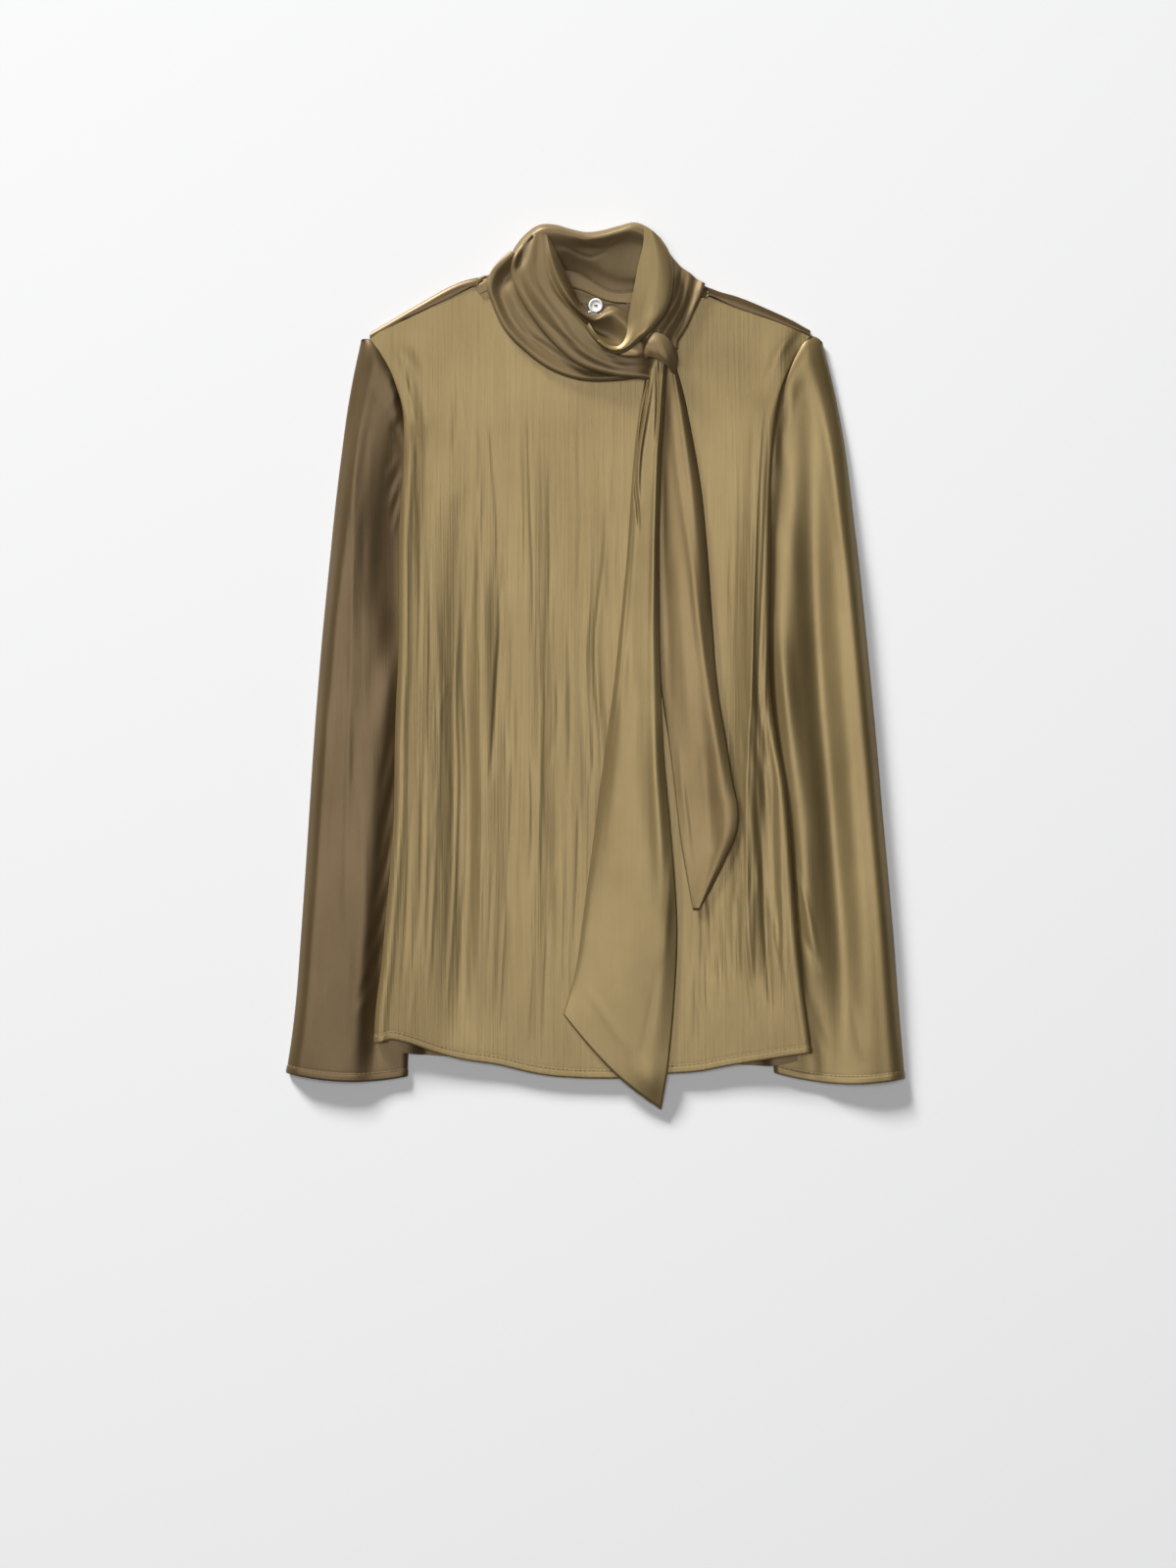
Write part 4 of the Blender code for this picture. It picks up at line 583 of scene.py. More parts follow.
def through(points, places):
    """Points at places 0 to 1 along a smooth curve through the given points."""
    points = np.asarray(points, float)
    keys = running(np.linalg.norm(np.diff(points[:, :2], axis=0), axis=1))
    at = np.asarray(places, float) * keys[-1]
    k = np.clip(np.searchsorted(keys, at, side="right") - 1, 0, len(keys) - 2)
    step = (keys[k + 1] - keys[k])[:, None]
    return curve_between(points, np.gradient(points, keys, axis=0), k, (at - keys[k])[:, None] / step, step)


def soft_step(low, high, value):
    """Rises softly from 0 at low to 1 at high."""
    t = np.clip((value - low) / (high - low), 0.0, 1.0)
    return t * t * (3 - 2 * t)


def column(rows, name):
    """One named value from every row."""
    return [row[name] for row in rows]


def smooth_columns(keys, rows, name, at):
    """The values of a list in each row, every place of the list smoothed over the keys on its own."""
    return np.array([smooth(keys, values, at) for values in zip(*column(rows, name))])


def fold_height(folds, x, y):
    """How far the folds raise the cloth at each place."""
    raised = np.zeros_like(x)
    for fold in folds:
        (x0, y0), (x1, y1) = fold["start"], fold["end"]
        along = np.clip((y - y0) / (y1 - y0), 0.0, 1.0)
        off = (x - (x0 + along * (x1 - x0))) / fold["width"]
        off = np.where(off > 0, off / fold["steep"], off)
        ends = np.sin(np.pi * np.clip((y - y0) / (y1 - y0), 0.0, 1.0)) ** 0.5
        raised += fold["height"] * np.exp(-(off**2)) * ends
    return raised


class Pile:
    """How high the cloth that is already laid reaches, on a plan grid of small cells."""

    CELL = 2.0
    LOW, HIGH = (-300.0, -410.0), (300.0, 410.0)
    LAP = 2  # cells by which a height is widened
    REACH = 40  # cells over which cloth slopes down from a height

    def __init__(self, slope):
        shape = [int((h - l) / self.CELL) + 1 for l, h in zip(self.LOW, self.HIGH)]
        self.top = np.zeros(shape)
        self.slope = slope
        self.draped = self.top

    def lay(self, grid, where=None):
        """Adds a grid of points, or the ones where a condition on x and y holds."""
        fine = self.between(self.between(grid), axis=1)
        points = fine.reshape(-1, 3)
        if where is not None:
            points = points[where(points[:, 0], points[:, 1])]
        cell = [np.round((points[:, i] - self.LOW[i]) / self.CELL).astype(int) for i in (0, 1)]
        np.maximum.at(self.top, tuple(cell), points[:, 2])
        self.drape()

    @staticmethod
    def between(grid, axis=0, count=8):
        grid = np.swapaxes(grid, 0, axis)
        t = np.linspace(0, 1, count, endpoint=False)[None, :, None, None]
        fine = (grid[:-1, None] * (1 - t) + grid[1:, None] * t).reshape(-1, *grid.shape[1:])
        return np.swapaxes(np.concatenate([fine, grid[-1:]]), 0, axis)

    def drape(self):
        """Cloth laid over the pile comes down from each height at the slope."""
        field = self.top
        for step in range(self.REACH):
            fall = 0.0 if step < self.LAP else self.slope * self.CELL
            for axis in (0, 1):
                beside = np.maximum(np.roll(field, 1, axis), np.roll(field, -1, axis))
                field = np.maximum(field, beside - fall)
        self.draped = field

    def height(self, x, y):
        """How high cloth laid over the pile is at each place."""
        place = [(np.asarray(v) - low) / self.CELL for v, low in zip((x, y), self.LOW)]
        k = [np.clip(p.astype(int), 0, n - 2) for p, n in zip(place, self.top.shape)]
        tx, ty = place[0] - k[0], place[1] - k[1]
        low = self.draped[k[0], k[1]] * (1 - ty) + self.draped[k[0], k[1] + 1] * ty
        high = self.draped[k[0] + 1, k[1]] * (1 - ty) + self.draped[k[0] + 1, k[1] + 1] * ty
        return low * (1 - tx) + high * tx


def tucked(x, y):
    """The most that a sleeve may rise beside and under the body's folded sides."""
    right, left = side(SIDE_RIGHT, "edge", y), side(SIDE_LEFT, "edge", y)
    outside = np.maximum(right - x, x - left)
    starts = np.where(x < 0, TURN_STARTS["right"], TURN_STARTS["left"])
    free = TUCK_FREE * soft_step(starts + 2, starts + 34, y)
    return TUCK_HEIGHT + TUCK_SLOPE * np.maximum(outside - 1.5, 0) + free


def sleeve_grid(sections, armhole, folds, stations, steps):
    """Rings round one sleeve from the cuff to the armhole, each along its upper layer and back underneath."""
    keys = np.linspace(0, 1, len(sections))
    at = np.linspace(0, 1, stations)
    names = ("outer", "inner", "heights")
    outer, inner, heights = (smooth_columns(keys, sections, name, at).T for name in names)
    sag = smooth(keys, column(sections, "sag"), at)
    share = smooth(keys, column(sections, "armhole"), at)
    turn = np.linspace(0, np.pi, steps + 1)
    place = (1 - np.cos(turn)) / 2
    curve = through(np.array(armhole, float), place)
    bow = curve - (curve[0] + place[:, None] * (curve[-1] - curve[0]))
    edge = TUCK_HEIGHT / 2
    full = np.sin(turn) ** FULLNESS
    rings = []
    for k in range(stations):
        plan = outer[k] + place[:, None] * (inner[k] - outer[k]) + share[k] * bow
        plan[:, 1] -= sag[k] * np.sin(turn) ** 2
        top = smooth(HEIGHT_PLACES, heights[k], place)
        top = top + fold_height(folds, plan[:, 0], plan[:, 1]) * np.clip((top - TUCK_HEIGHT) / 4, 0, 1)
        top = np.minimum(edge + (top - edge) * full, tucked(plan[:, 0], plan[:, 1]))
        upper = np.column_stack([plan, top])
        lower = np.column_stack([plan, edge * np.clip(1 - 1.25 * full, 0, 1)])
        rings.append(np.concatenate([upper, lower[-2:0:-1]]))
    return np.swapaxes(np.array(rings), 0, 1)


def side(table, name, y):
    """A column of a side edge's table at any height."""
    return smooth(column(table, "y"), column(table, name), y)


def panel_plan(columns_at_top, rows, hem, top, inset):
    """Places in plan over a body panel, each column from the hem to the upper edge. inset keeps them in from
    the side edges, for the right and the left side."""
    first, last = columns_at_top[0], columns_at_top[-1]
    share = (np.array(columns_at_top, float) - first) / (last - first)

    def at_height(y):
        low = side(SIDE_RIGHT, "edge", y) + inset[0](y)
        high = side(SIDE_LEFT, "edge", y) - inset[1](y)
        return low + share * (high - low)

    ends = []
    for edge in (hem, top):
        edge = np.array(edge, float)
        y = np.full(len(share), edge[:, 1].mean())
        for _ in range(12):
            y = (y + smooth(edge[:, 0], edge[:, 1], at_height(y))) / 2
        ends.append(y)
    y = ends[0] + np.asarray(rows)[:, None] * (ends[1] - ends[0])
    return at_height(y), y, share


def front_height(share, x, y):
    """Height of the front's face, with its folds."""
    levels = smooth_columns(column(FRONT_HEIGHTS, "y"), FRONT_HEIGHTS, "heights", y)
    height = np.zeros_like(x)
    for i in np.ndindex(x.shape):
        height[i] = smooth(FRONT_PLACES, levels[(slice(None),) + i], share[i])
    edges = np.clip(np.minimum(share, 1 - share) / 0.04, 0.25, 1)
    return height + fold_height(FRONT_FOLDS, x, y) * edges


def turn_radius(starts):
    """The radius that a fold leaves in plan: full below the place where the cloth is turned under."""
    return lambda y: FOLD_REACH * soft_step(starts + FOLD_ENDS[0], starts + FOLD_ENDS[1], y)


def front_grid(pile):
    """The front: its face, and at each side the fold and the cloth turned under as far as the side seam."""
    rows = np.insert(BODY_ROWS, 1, HEM_ROW)
    insets = turn_radius(TURN_STARTS["right"]), turn_radius(TURN_STARTS["left"])
    x, y, share = panel_plan(FRONT_COLUMNS, rows, FRONT_HEM, FRONT_TOP, insets)
    z = front_height(np.broadcast_to(share, x.shape), x, y)
    z = np.maximum(z, pile.height(x, y) + LAY_GAP + CLOTH)
    face = np.dstack([x, y, z])
    sides, present_sides = [], []
    for table, starts, edge, sign in (
        (SIDE_RIGHT, TURN_STARTS["right"], face[:, 0], 1),
        (SIDE_LEFT, TURN_STARTS["left"], face[:, -1], -1),
    ):
        radius = turn_radius(starts)(edge[:, 1]) + 0.3
        width = side(table, "turned", edge[:, 1])
        low = TUCK_HEIGHT + LAY_GAP
        half = (edge[:, 2] - low) / 2
        strips = []
        for angle in np.linspace(0, np.pi, TURN_STEPS + 1)[1:]:
            strips.append(np.column_stack([
                edge[:, 0] - sign * radius * np.sin(angle),
                edge[:, 1],
                low + half * (1 + np.cos(angle)),
            ]))
        seam = edge[:, 0] + sign * np.maximum(width - radius, 1.0)
        strips.append(np.column_stack([seam, edge[:, 1], np.full(len(edge), low)]))
        strips = np.array(strips).swapaxes(0, 1)
        below = edge[:, 1] < starts + FOLD_ENDS[0]
        sides.append(strips)
        present_sides.append(np.repeat((below[:-1] & below[1:])[:, None], strips.shape[1], axis=1))
    grid = np.concatenate([sides[0][:, ::-1], face, sides[1]], axis=1)
    inside = np.ones((len(rows) - 1, face.shape[1] - 1), bool)
    present = np.concatenate([present_sides[0], inside, present_sides[1]], axis=1)
    return grid, present, face


def shoulder_height(x):
    """Height of the shoulder fold at a distance from the middle."""
    return smooth(SHOULDER_PLACES, SHOULDER_HEIGHTS, np.abs(x))


def back_inset(table):
    """How far the back's side edge lies in from the body's edge."""
    return lambda y: side(table, "turned", y) + SEAM_GAP


def back_grid(pile):
    """The back, outer side down: flat from the hem, then over the shoulders to the shoulder seams."""
    columns = np.array(BACK_COLUMNS, float)
    top = np.array(BACK_TOP, float)
    shoulder = (columns <= NECK_RIGHT) | (columns >= NECK_LEFT)
    radius = np.where(shoulder, shoulder_height(columns) / 2, 0.0)
    fold = list(zip(columns, smooth(top[:, 0], top[:, 1], columns) - radius))
    insets = back_inset(SIDE_RIGHT), back_inset(SIDE_LEFT)
    x, y, _ = panel_plan(BACK_COLUMNS, BODY_ROWS, BACK_HEM, fold, insets)
    below = pile.height(x, y)
    z = np.where(below > 0, below + LAY_GAP, 0.0)
    flat = np.dstack([x, y, z])
    line = flat[-1]
    radius = np.where(shoulder, shoulder_height(line[:, 0]) / 2, 0.0)
    over = []
    for angle in np.linspace(0, np.pi, TURN_STEPS + 1)[1:]:
        over.append(np.column_stack([
            line[:, 0],
            line[:, 1] + radius * np.abs(np.sin(angle)) ** FULLNESS,
            radius * (1 - np.cos(angle)),
        ]))
    seam = np.array(FRONT_TOP, float)
    seam_y = smooth(seam[:, 0], seam[:, 1], line[:, 0]) + SEAM_GAP
    over.append(np.column_stack([line[:, 0], np.minimum(seam_y, line[:, 1] - 0.8), 2 * radius]))
    grid = np.concatenate([flat, np.array(over)])
    present = np.ones((grid.shape[0] - 1, grid.shape[1] - 1), bool)
    present[len(BODY_ROWS) - 1:] = (columns[1:] <= NECK_RIGHT) | (columns[:-1] >= NECK_LEFT)
    return grid, present


def strip_grid(sections, pile, wall, stations, steps, sag=0.0):
    """One end of the scarf, laid over the pile: rows along it, columns across."""
    keys = np.linspace(0, 1, len(sections))
    at = np.linspace(0, 1, stations)
    left, right, rise = (smooth_columns(keys, sections, name, at).T for name in ("left", "right", "rise"))
    part = (1 - np.cos(np.linspace(0, np.pi, steps + 1))) / 2
    rows = []
    for k in range(stations):
        plan = left[k] + part[:, None] * (right[k] - left[k])
        plan[:, 1] -= sag * at[k] ** 12 * np.sin(np.pi * part)
        lift = smooth(TIE_PLACES, rise[k], part)
        base = pile.height(plan[:, 0], plan[:, 1]) + LAY_GAP + wall
        rows.append(np.column_stack([plan, base + lift]))
    return np.array(rows)


def loft(lines, along):
    """A grid whose rows are the named lines of a collar stretch, which all run the same way."""
    places = np.linspace(0, 1, along)
    return np.array([through(line, places) for line in lines.values()])


def with_rolled_rim(grid):
    """Puts a fold at the first row, whose cloth is turned under towards the second row."""
    rim = grid[0]
    inward = grid[1] - rim
    inward[:, 2] = 0
    inward /= np.linalg.norm(inward, axis=1)[:, None]
    down = np.array([0, 0, -1.0])
    rows = [rim + (ROLL_RADIUS + ROLL_RETURN) * inward + 2 * ROLL_RADIUS * down]
    for angle in np.radians([180, 120, 60]):
        turned = (1 - np.sin(angle)) * inward + (1 - np.cos(angle)) * down
        rows.append(rim + ROLL_RADIUS * turned)
    crest = rim + ROLL_RADIUS * inward
    return np.concatenate([rows, [crest], grid[1:]])


def over_pile(grid, pile, wall, rolled):
    """Raises a collar stretch where the cloth under it is higher, its rolled rim as one."""
    lift = pile.height(grid[..., 0], grid[..., 1]) + LAY_GAP + wall - grid[..., 2]
    if rolled:
        lift[:4] -= wall
        lift[:5] = lift[:5].max(axis=0)
    raised = grid.copy()
    raised[..., 2] += np.maximum(lift, 0.0)
    return raised


def inside_folds(x, y):
    """Which places in plan lie between the body's two side edges."""
    return (x > side(SIDE_RIGHT, "edge", y)) & (x < side(SIDE_LEFT, "edge", y))


def under_back(x, y):
    """Where a sleeve raises the back that is laid over it."""
    return inside_folds(x, y) & (y < UNDERARM_Y - 6)


def under_front(x, y):
    """Where a sleeve raises the front that is laid over it."""
    return inside_folds(x, y) & (y < TURN_STARTS["right"])


# The stretches of the collar, in the order in which they are laid: their lines, the steps along them, whether
# the rim is rolled, and how far the stretch sinks until it is sewn or rests on its neighbour. The tie's ends
# come between the two lists.
COLLAR_BELOW = {
    "collar_back": (COLLAR_BACK, 18, False, 0.0),
    "collar_under": (COLLAR_UNDER, 18, True, 0.75),
    "collar_roll": (COLLAR_ROLL, 18, True, 1.45),
}
COLLAR_ABOVE = {
    "collar_end": (COLLAR_END, 9, True, 1.3),
    "knot": (KNOT, 11, False, 4.0),
    "collar_flap": (COLLAR_FLAP, 17, True, 3.2),
}

# How far the wraps run on under the knot, past the ends of their solids
UNDER_KNOT = {"collar_under": (9, -1, -4.5), "collar_roll": (9, -1, -5)}


def with_allowance(grid):
    """A sleeve with its seam allowance past the armhole, between the body's two layers."""
    last = grid[:, -1]
    ahead = last - grid[:, -2]
    ahead[:, 2] = 0
    ahead /= np.linalg.norm(ahead, axis=1)[:, None]
    middle = (last[:, 2].max() + last[:, 2].min()) / 2
    inside = np.clip(np.linalg.norm(last[:, :2] - last[0, :2], axis=1) / 9, 0, 1)
    edge = last + ALLOWANCE * inside[:, None] * ahead
    edge[:, 2] += np.clip(middle - last[:, 2], -ALLOWANCE_DIP, ALLOWANCE_RISE)
    return np.concatenate([grid, edge[:, None]], axis=1)


def hemmed(grid, normal):
    """A turned hem along the first row: double cloth up to its sunk stitch line, which comes back too."""
    steps = np.linalg.norm(np.diff(grid, axis=0), axis=2)
    away = np.concatenate([np.zeros((1, grid.shape[1])), np.cumsum(steps, axis=0)])
    band = soft_step(0, 1.2, away) * (1 - soft_step(HEM_WIDTH - 0.2, HEM_WIDTH + 1.4, away))
    rise = HEM_RISE * band - HEM_SINK * np.exp(-(((away - HEM_WIDTH) / 0.9) ** 2))
    raised = grid + normal * rise[..., None]
    raised[..., 2] = np.maximum(raised[..., 2], 0.0)
    over = raised + 0.15 * normal
    columns = range(grid.shape[1])
    line = np.array([[np.interp(HEM_WIDTH, away[:, k], over[:, k, i]) for i in range(3)] for k in columns])
    line[:, 2] = np.maximum(line[:, 2], STITCH_RADIUS)
    return raised, line


def tube_faces(rings, sides, first=0):
    """The faces of a tube between rings of points, and of its two ends."""
    faces = []
    for ring in range(rings - 1):
        for k in range(sides):
            a, b = first + sides * ring + k, first + sides * ring + (k + 1) % sides
            faces.append((a, b, b + sides, a + sides))
    faces.append(tuple(first + k for k in reversed(range(sides))))
    faces.append(tuple(first + sides * (rings - 1) + k for k in range(sides)))
    return faces


def in_scene(name, data):
    """A new object in the scene."""
    item = bpy.data.objects.new(name, data)
    bpy.context.scene.collection.objects.link(item)
    return item


def new_piece(name, verts, faces, material, node=None):
    """A piece with smooth shading, from points in millimetres. It may stand for a node."""
    mesh = bpy.data.meshes.new(name)
    mesh.from_pydata((np.array(verts) * MM).tolist(), [], faces)
    mesh.materials.append(material)
    mesh.shade_smooth()
    piece = in_scene(name, mesh)
    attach(piece, "root")
    if node is not None:
        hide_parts(node)
    return piece


def stitch_row(name, line, material, length=STITCH):
    """Short thread stitches along a line of points, as one joined mesh."""
    keys = running(np.linalg.norm(np.diff(line, axis=0), axis=1))
    count = max(1, int(keys[-1] / (length + STITCH_GAP)))
    angles = np.arange(STITCH_SIDES) * np.pi / (STITCH_SIDES / 2)
    verts, faces = [], []
    for start in np.linspace(0.5, keys[-1] - length - 0.5, count):
        faces += tube_faces(len(STITCH_PROFILE), STITCH_SIDES, len(verts))
        ends = [np.array([np.interp(start + t * length, keys, line[:, i]) for i in range(3)]) for t in (0, 1)]
        ahead = (ends[1] - ends[0]) / np.linalg.norm(ends[1] - ends[0])
        aside = np.cross(ahead, [0, 0, 1.0])
        aside /= max(np.linalg.norm(aside), 1e-6)
        up = np.cross(aside, ahead)
        for t, radius, dip in STITCH_PROFILE:
            centre = ends[0] + t * (ends[1] - ends[0]) - dip * up
            for a in angles:
                verts.append(centre + STITCH_RADIUS * radius * (np.cos(a) * aside + np.sin(a) * up))
    return new_piece(name, verts, faces, material)


def places_for(grid, spacing, finer=None):
    """Places down a grid's rows, about the spacing apart, or as finer says for a gap between two rows."""
    steps = np.linalg.norm(np.diff(grid, axis=0), axis=2).mean(axis=1)
    places = []
    for k, length in enumerate(steps):
        count = max(1, int(np.ceil(length / (finer or {}).get(k, spacing))))
        places.extend(k + np.arange(count) / count)
    return np.array(places + [len(steps)])


def between_rows(grid, places):
    """Points at the places between a grid's rows, on smooth curves through them."""
    steps = np.linalg.norm(np.diff(grid, axis=0), axis=2).mean(axis=1)
    slope = np.gradient(grid, running(steps), axis=0)
    k = np.clip(np.floor(places).astype(int), 0, len(steps) - 1)
    return curve_between(grid, slope, k, (places - k)[:, None, None], steps[k][:, None, None])


def refine(grid, down, across, ring=False, finer_down=None, finer_across=None):
    """A finer grid through the points of a coarse one, with the coarse cell that each fine cell lies in."""
    if ring:
        wide = np.concatenate([grid[-2:], grid, grid[:3]])
        rows = places_for(np.concatenate([grid, grid[:1]]), down)[:-1]
        fine = between_rows(wide, rows + 2)
    else:
        rows = places_for(grid, down, finer_down)
        fine = between_rows(grid, rows)
    columns = places_for(np.swapaxes(grid, 0, 1), across, finer_across)
    fine = np.swapaxes(between_rows(np.swapaxes(fine, 0, 1), columns), 0, 1)
    cell = [np.floor((p[:-1] + p[1:]) / 2).astype(int) for p in (rows, columns)]
    return fine, cell


def surface_normals(grid, ring=False):
    """Outward unit normals of a grid whose highest point looks up."""
    if ring:
        along = (np.roll(grid, -1, 0) - np.roll(grid, 1, 0)) / 2
    else:
        along = np.gradient(grid, axis=0)
    normal = np.cross(along, np.gradient(grid, axis=1))
    normal /= np.maximum(np.linalg.norm(normal, axis=2, keepdims=True), 1e-9)
    highest = np.unravel_index(np.argmax(grid[..., 2]), grid.shape[:2])
    return normal if normal[highest][2] > 0 else -normal


def crease_field(x, y, creases):
    """How far the creases move the cloth out at each place in plan; a trough is below 0."""
    field = np.zeros_like(x)
    for crease in creases:
        path = through(np.array(crease["path"], float), np.linspace(0, 1, 4 * len(crease["path"])))
        reach = 3.0 * crease["width"]
        near = ((x > path[:, 0].min() - reach) & (x < path[:, 0].max() + reach)
                & (y > path[:, 1].min() - reach) & (y < path[:, 1].max() + reach))
        if not near.any():
            continue
        px, py = x[near], y[near]
        step = np.diff(path, axis=0)
        length = np.linalg.norm(step, axis=1)
        start = running(length)
        nearest = np.full(px.shape, np.inf)
        side_of, place = np.zeros_like(px), np.zeros_like(px)
        for (x0, y0), (dx, dy), size, begun in zip(path, step, length, start):
            t = np.clip(((px - x0) * dx + (py - y0) * dy) / size**2, 0, 1)
            off_x, off_y = px - x0 - t * dx, py - y0 - t * dy
            off = np.hypot(off_x, off_y)
            closer = off < nearest
            nearest = np.where(closer, off, nearest)
            side_of = np.where(closer, np.sign(off_y * dx - off_x * dy), side_of)
            place = np.where(closer, (begun + t * size) / start[-1], place)
        off = nearest / crease["width"]
        off = np.where(side_of > 0, off / crease["lean"], off)
        ends = np.sin(np.pi * np.clip(place, 0.001, 0.999)) ** 0.6
        field[near] += crease["height"] * np.exp(-(off**2)) * ends
    return field


def crinkles(seed, count, area, length, width, height, slant=0.0, sway=1.2):
    """Many small creases scattered over an area of the plan, from one seed, mostly along Y."""
    rng = np.random.default_rng(seed)
    (x0, y0), (x1, y1) = area
    creases = []
    for _ in range(count):
        size = rng.uniform(*length)
        x = rng.uniform(x0, x1)
        y = rng.uniform(y0 + size / 2, y1 - size / 2)
        lean = slant + rng.normal(0, 0.012)
        along = np.linspace(-0.5, 0.5, 4) * size
        path = [(x + lean * a + rng.normal(0, sway), y - a) for a in along]
        rise = rng.uniform(*height) * rng.choice([-1.0, 1.0], p=[0.6, 0.4])
        creases.append(dict(path=path, width=rng.uniform(*width), height=rise, lean=rng.uniform(0.7, 1.4)))
    return creases


def slimmer(creases, width, height):
    """The same creases with shares of their width and height."""
    return [dict(c, width=c["width"] * width, height=c["height"] * height) for c in creases]


def creased(grid, creases, ring=False, hidden=()):
    """Moves the upper side of a grid by its creases, and the lower side by the hidden ones."""
    normal = surface_normals(grid, ring)
    up = soft_step(0.05, 0.45, normal[..., 2])
    down = soft_step(0.3, 0.8, -normal[..., 2])
    x, y = grid[..., 0], grid[..., 1]
    move = up * crease_field(x, y, creases) + down * crease_field(x, y, hidden)
    moved = grid + normal * move[..., None]
    moved[..., 2] = np.maximum(moved[..., 2], 0.0)
    return moved


def sharpen_cut_edges(mesh):
    """Keeps the smooth shading of a cloth's face from running over its cut edges."""
    edge_of = np.empty(len(mesh.loops), np.int32)
    mesh.loops.foreach_get("edge_index", edge_of)
    uses = np.bincount(edge_of, minlength=len(mesh.edges))
    mesh.edges.foreach_set("use_edge_sharp", uses == 1)


def shell(name, node, grid, material, wall, ring=False, present=None, crisp=True):
    """A thin cloth piece whose outer points are the grid; it stands for its node. Its cut edges are crisp or
    pressed round."""
    rows, columns = grid.shape[:2]
    i, j = np.meshgrid(np.arange(rows if ring else rows - 1), np.arange(columns - 1), indexing="ij")
    if present is not None:
        i, j = i[present], j[present]
    i, j = i.ravel(), j.ravel()
    k = (i + 1) % rows
    faces = np.stack([i * columns + j, i * columns + j + 1, k * columns + j + 1, k * columns + j], axis=1)
    flat = grid.reshape(-1, 3)
    a, b, c, d = (flat[faces[:, n]] for n in range(4))
    up = np.cross(c - a, d - b)[:, 2]
    centre = (a + b + c + d)[:, 2]
    if up[np.argmax(centre)] < 0:
        faces = faces[:, ::-1]
    used, faces = np.unique(faces, return_inverse=True)
    faces = faces.reshape(-1, 4)
    piece = new_piece(name, flat[used], faces.tolist(), material, node=node)
    if crisp:
        sharpen_cut_edges(piece.data)
    thick = piece.modifiers.new("Wall", "SOLIDIFY")
    thick.thickness = wall * MM
    thick.offset = -1.0
    thick.use_quality_normals = True
    return piece


# Seeded creases: the seed, their count and area, and the ranges of their length, width and height
SLEEVE_RIGHT_AREA, SLEEVE_LEFT_AREA = ((-250, -330), (-180, 200)), ((175, -330), (245, 150))
SLEEVE_RIGHT_CRINKLES = crinkles(3, 26, SLEEVE_RIGHT_AREA, (40, 150), (2.0, 4.0), (0.15, 0.4), slant=0.06)
SLEEVE_LEFT_CRINKLES = crinkles(4, 12, SLEEVE_LEFT_AREA, (60, 160), (4.0, 6.0), (0.08, 0.2), slant=-0.08)
FRONT_CRINKLES = (
    crinkles(1, 150, ((-168, -335), (140, 215)), (35, 160), (1.4, 2.4), (0.06, 0.2))
    + crinkles(2, 60, ((85, -330), (165, -150)), (25, 90), (1.4, 2.4), (0.1, 0.35), slant=0.04)
)
# The same on the undersides
UNDER_BACK = crinkles(5, 40, ((-160, -320), (150, 290)), (60, 220), (3.0, 6.0), (0.3, 0.9))
UNDER_RIGHT = crinkles(6, 14, ((-240, -320), (-150, 180)), (60, 180), (3.0, 6.0), (0.3, 0.8), slant=0.08)
UNDER_LEFT = crinkles(7, 14, ((150, -320), (235, 180)), (60, 180), (3.0, 6.0), (0.3, 0.8), slant=-0.08)


def build_cloth(looks):
    """Every cloth piece, laid in the order of the solids, with its creases."""
    right = sleeve_grid(SLEEVE_RIGHT, ARMHOLE_RIGHT, SLEEVE_RIGHT_FOLDS, SLEEVE_STATIONS, SLEEVE_STEPS)
    left = sleeve_grid(SLEEVE_LEFT, ARMHOLE_LEFT, SLEEVE_LEFT_FOLDS, SLEEVE_STATIONS, SLEEVE_STEPS)
    sleeves = Pile(BODY_SLOPE)
    sleeves.lay(right, under_back)
    sleeves.lay(left, under_back)
    back, back_present = back_grid(sleeves)
    body = Pile(BODY_SLOPE)
    body.lay(right, under_front)
    body.lay(left, under_front)
    body.lay(back[: len(BODY_ROWS)] + [0, 0, CLOTH])
    front, front_present, face = front_grid(body)
    build_sleeves(right, left, looks)
    build_body(back, back_present, front, front_present, looks)
    short, long = build_ties(face, looks)

    pile = Pile(COLLAR_SLOPE)
    pile.lay(face)
    lay_collar(COLLAR_BELOW, pile, looks)
    pile.lay(short)
    pile.lay(long)
    lay_collar(COLLAR_ABOVE, pile, looks)


def build_sleeves(right, left, looks):
    """Both sleeves, with their stitched hems."""
    for name, coarse, creases, hidden, look in (
        # The right sleeve's satin is darkened and reddened as painted shade
        ("sleeve_right", right, SLEEVE_RIGHT_CREASES + SLEEVE_RIGHT_CRINKLES, UNDER_RIGHT, "satin_painted_shade"),
        ("sleeve_left", left, SLEEVE_LEFT_CREASES + SLEEVE_LEFT_CRINKLES, UNDER_LEFT, "satin"),
    ):
        fine, _ = refine(with_allowance(coarse), down=2.4, across=3.6, ring=True, finer_across={0: 1.0})
        fine = creased(fine, slimmer(creases, width=1.0, height=0.5), ring=True, hidden=hidden)
        fine, seam_line = hemmed(np.swapaxes(fine, 0, 1), np.swapaxes(surface_normals(fine, ring=True), 0, 1))
        piece = shell(name + "_cloth", name, np.swapaxes(fine, 0, 1), looks[look], THIN, ring=True)
        stitches = stitch_row(name + "_stitches", np.concatenate([seam_line, seam_line[:1]]), looks["thread"])


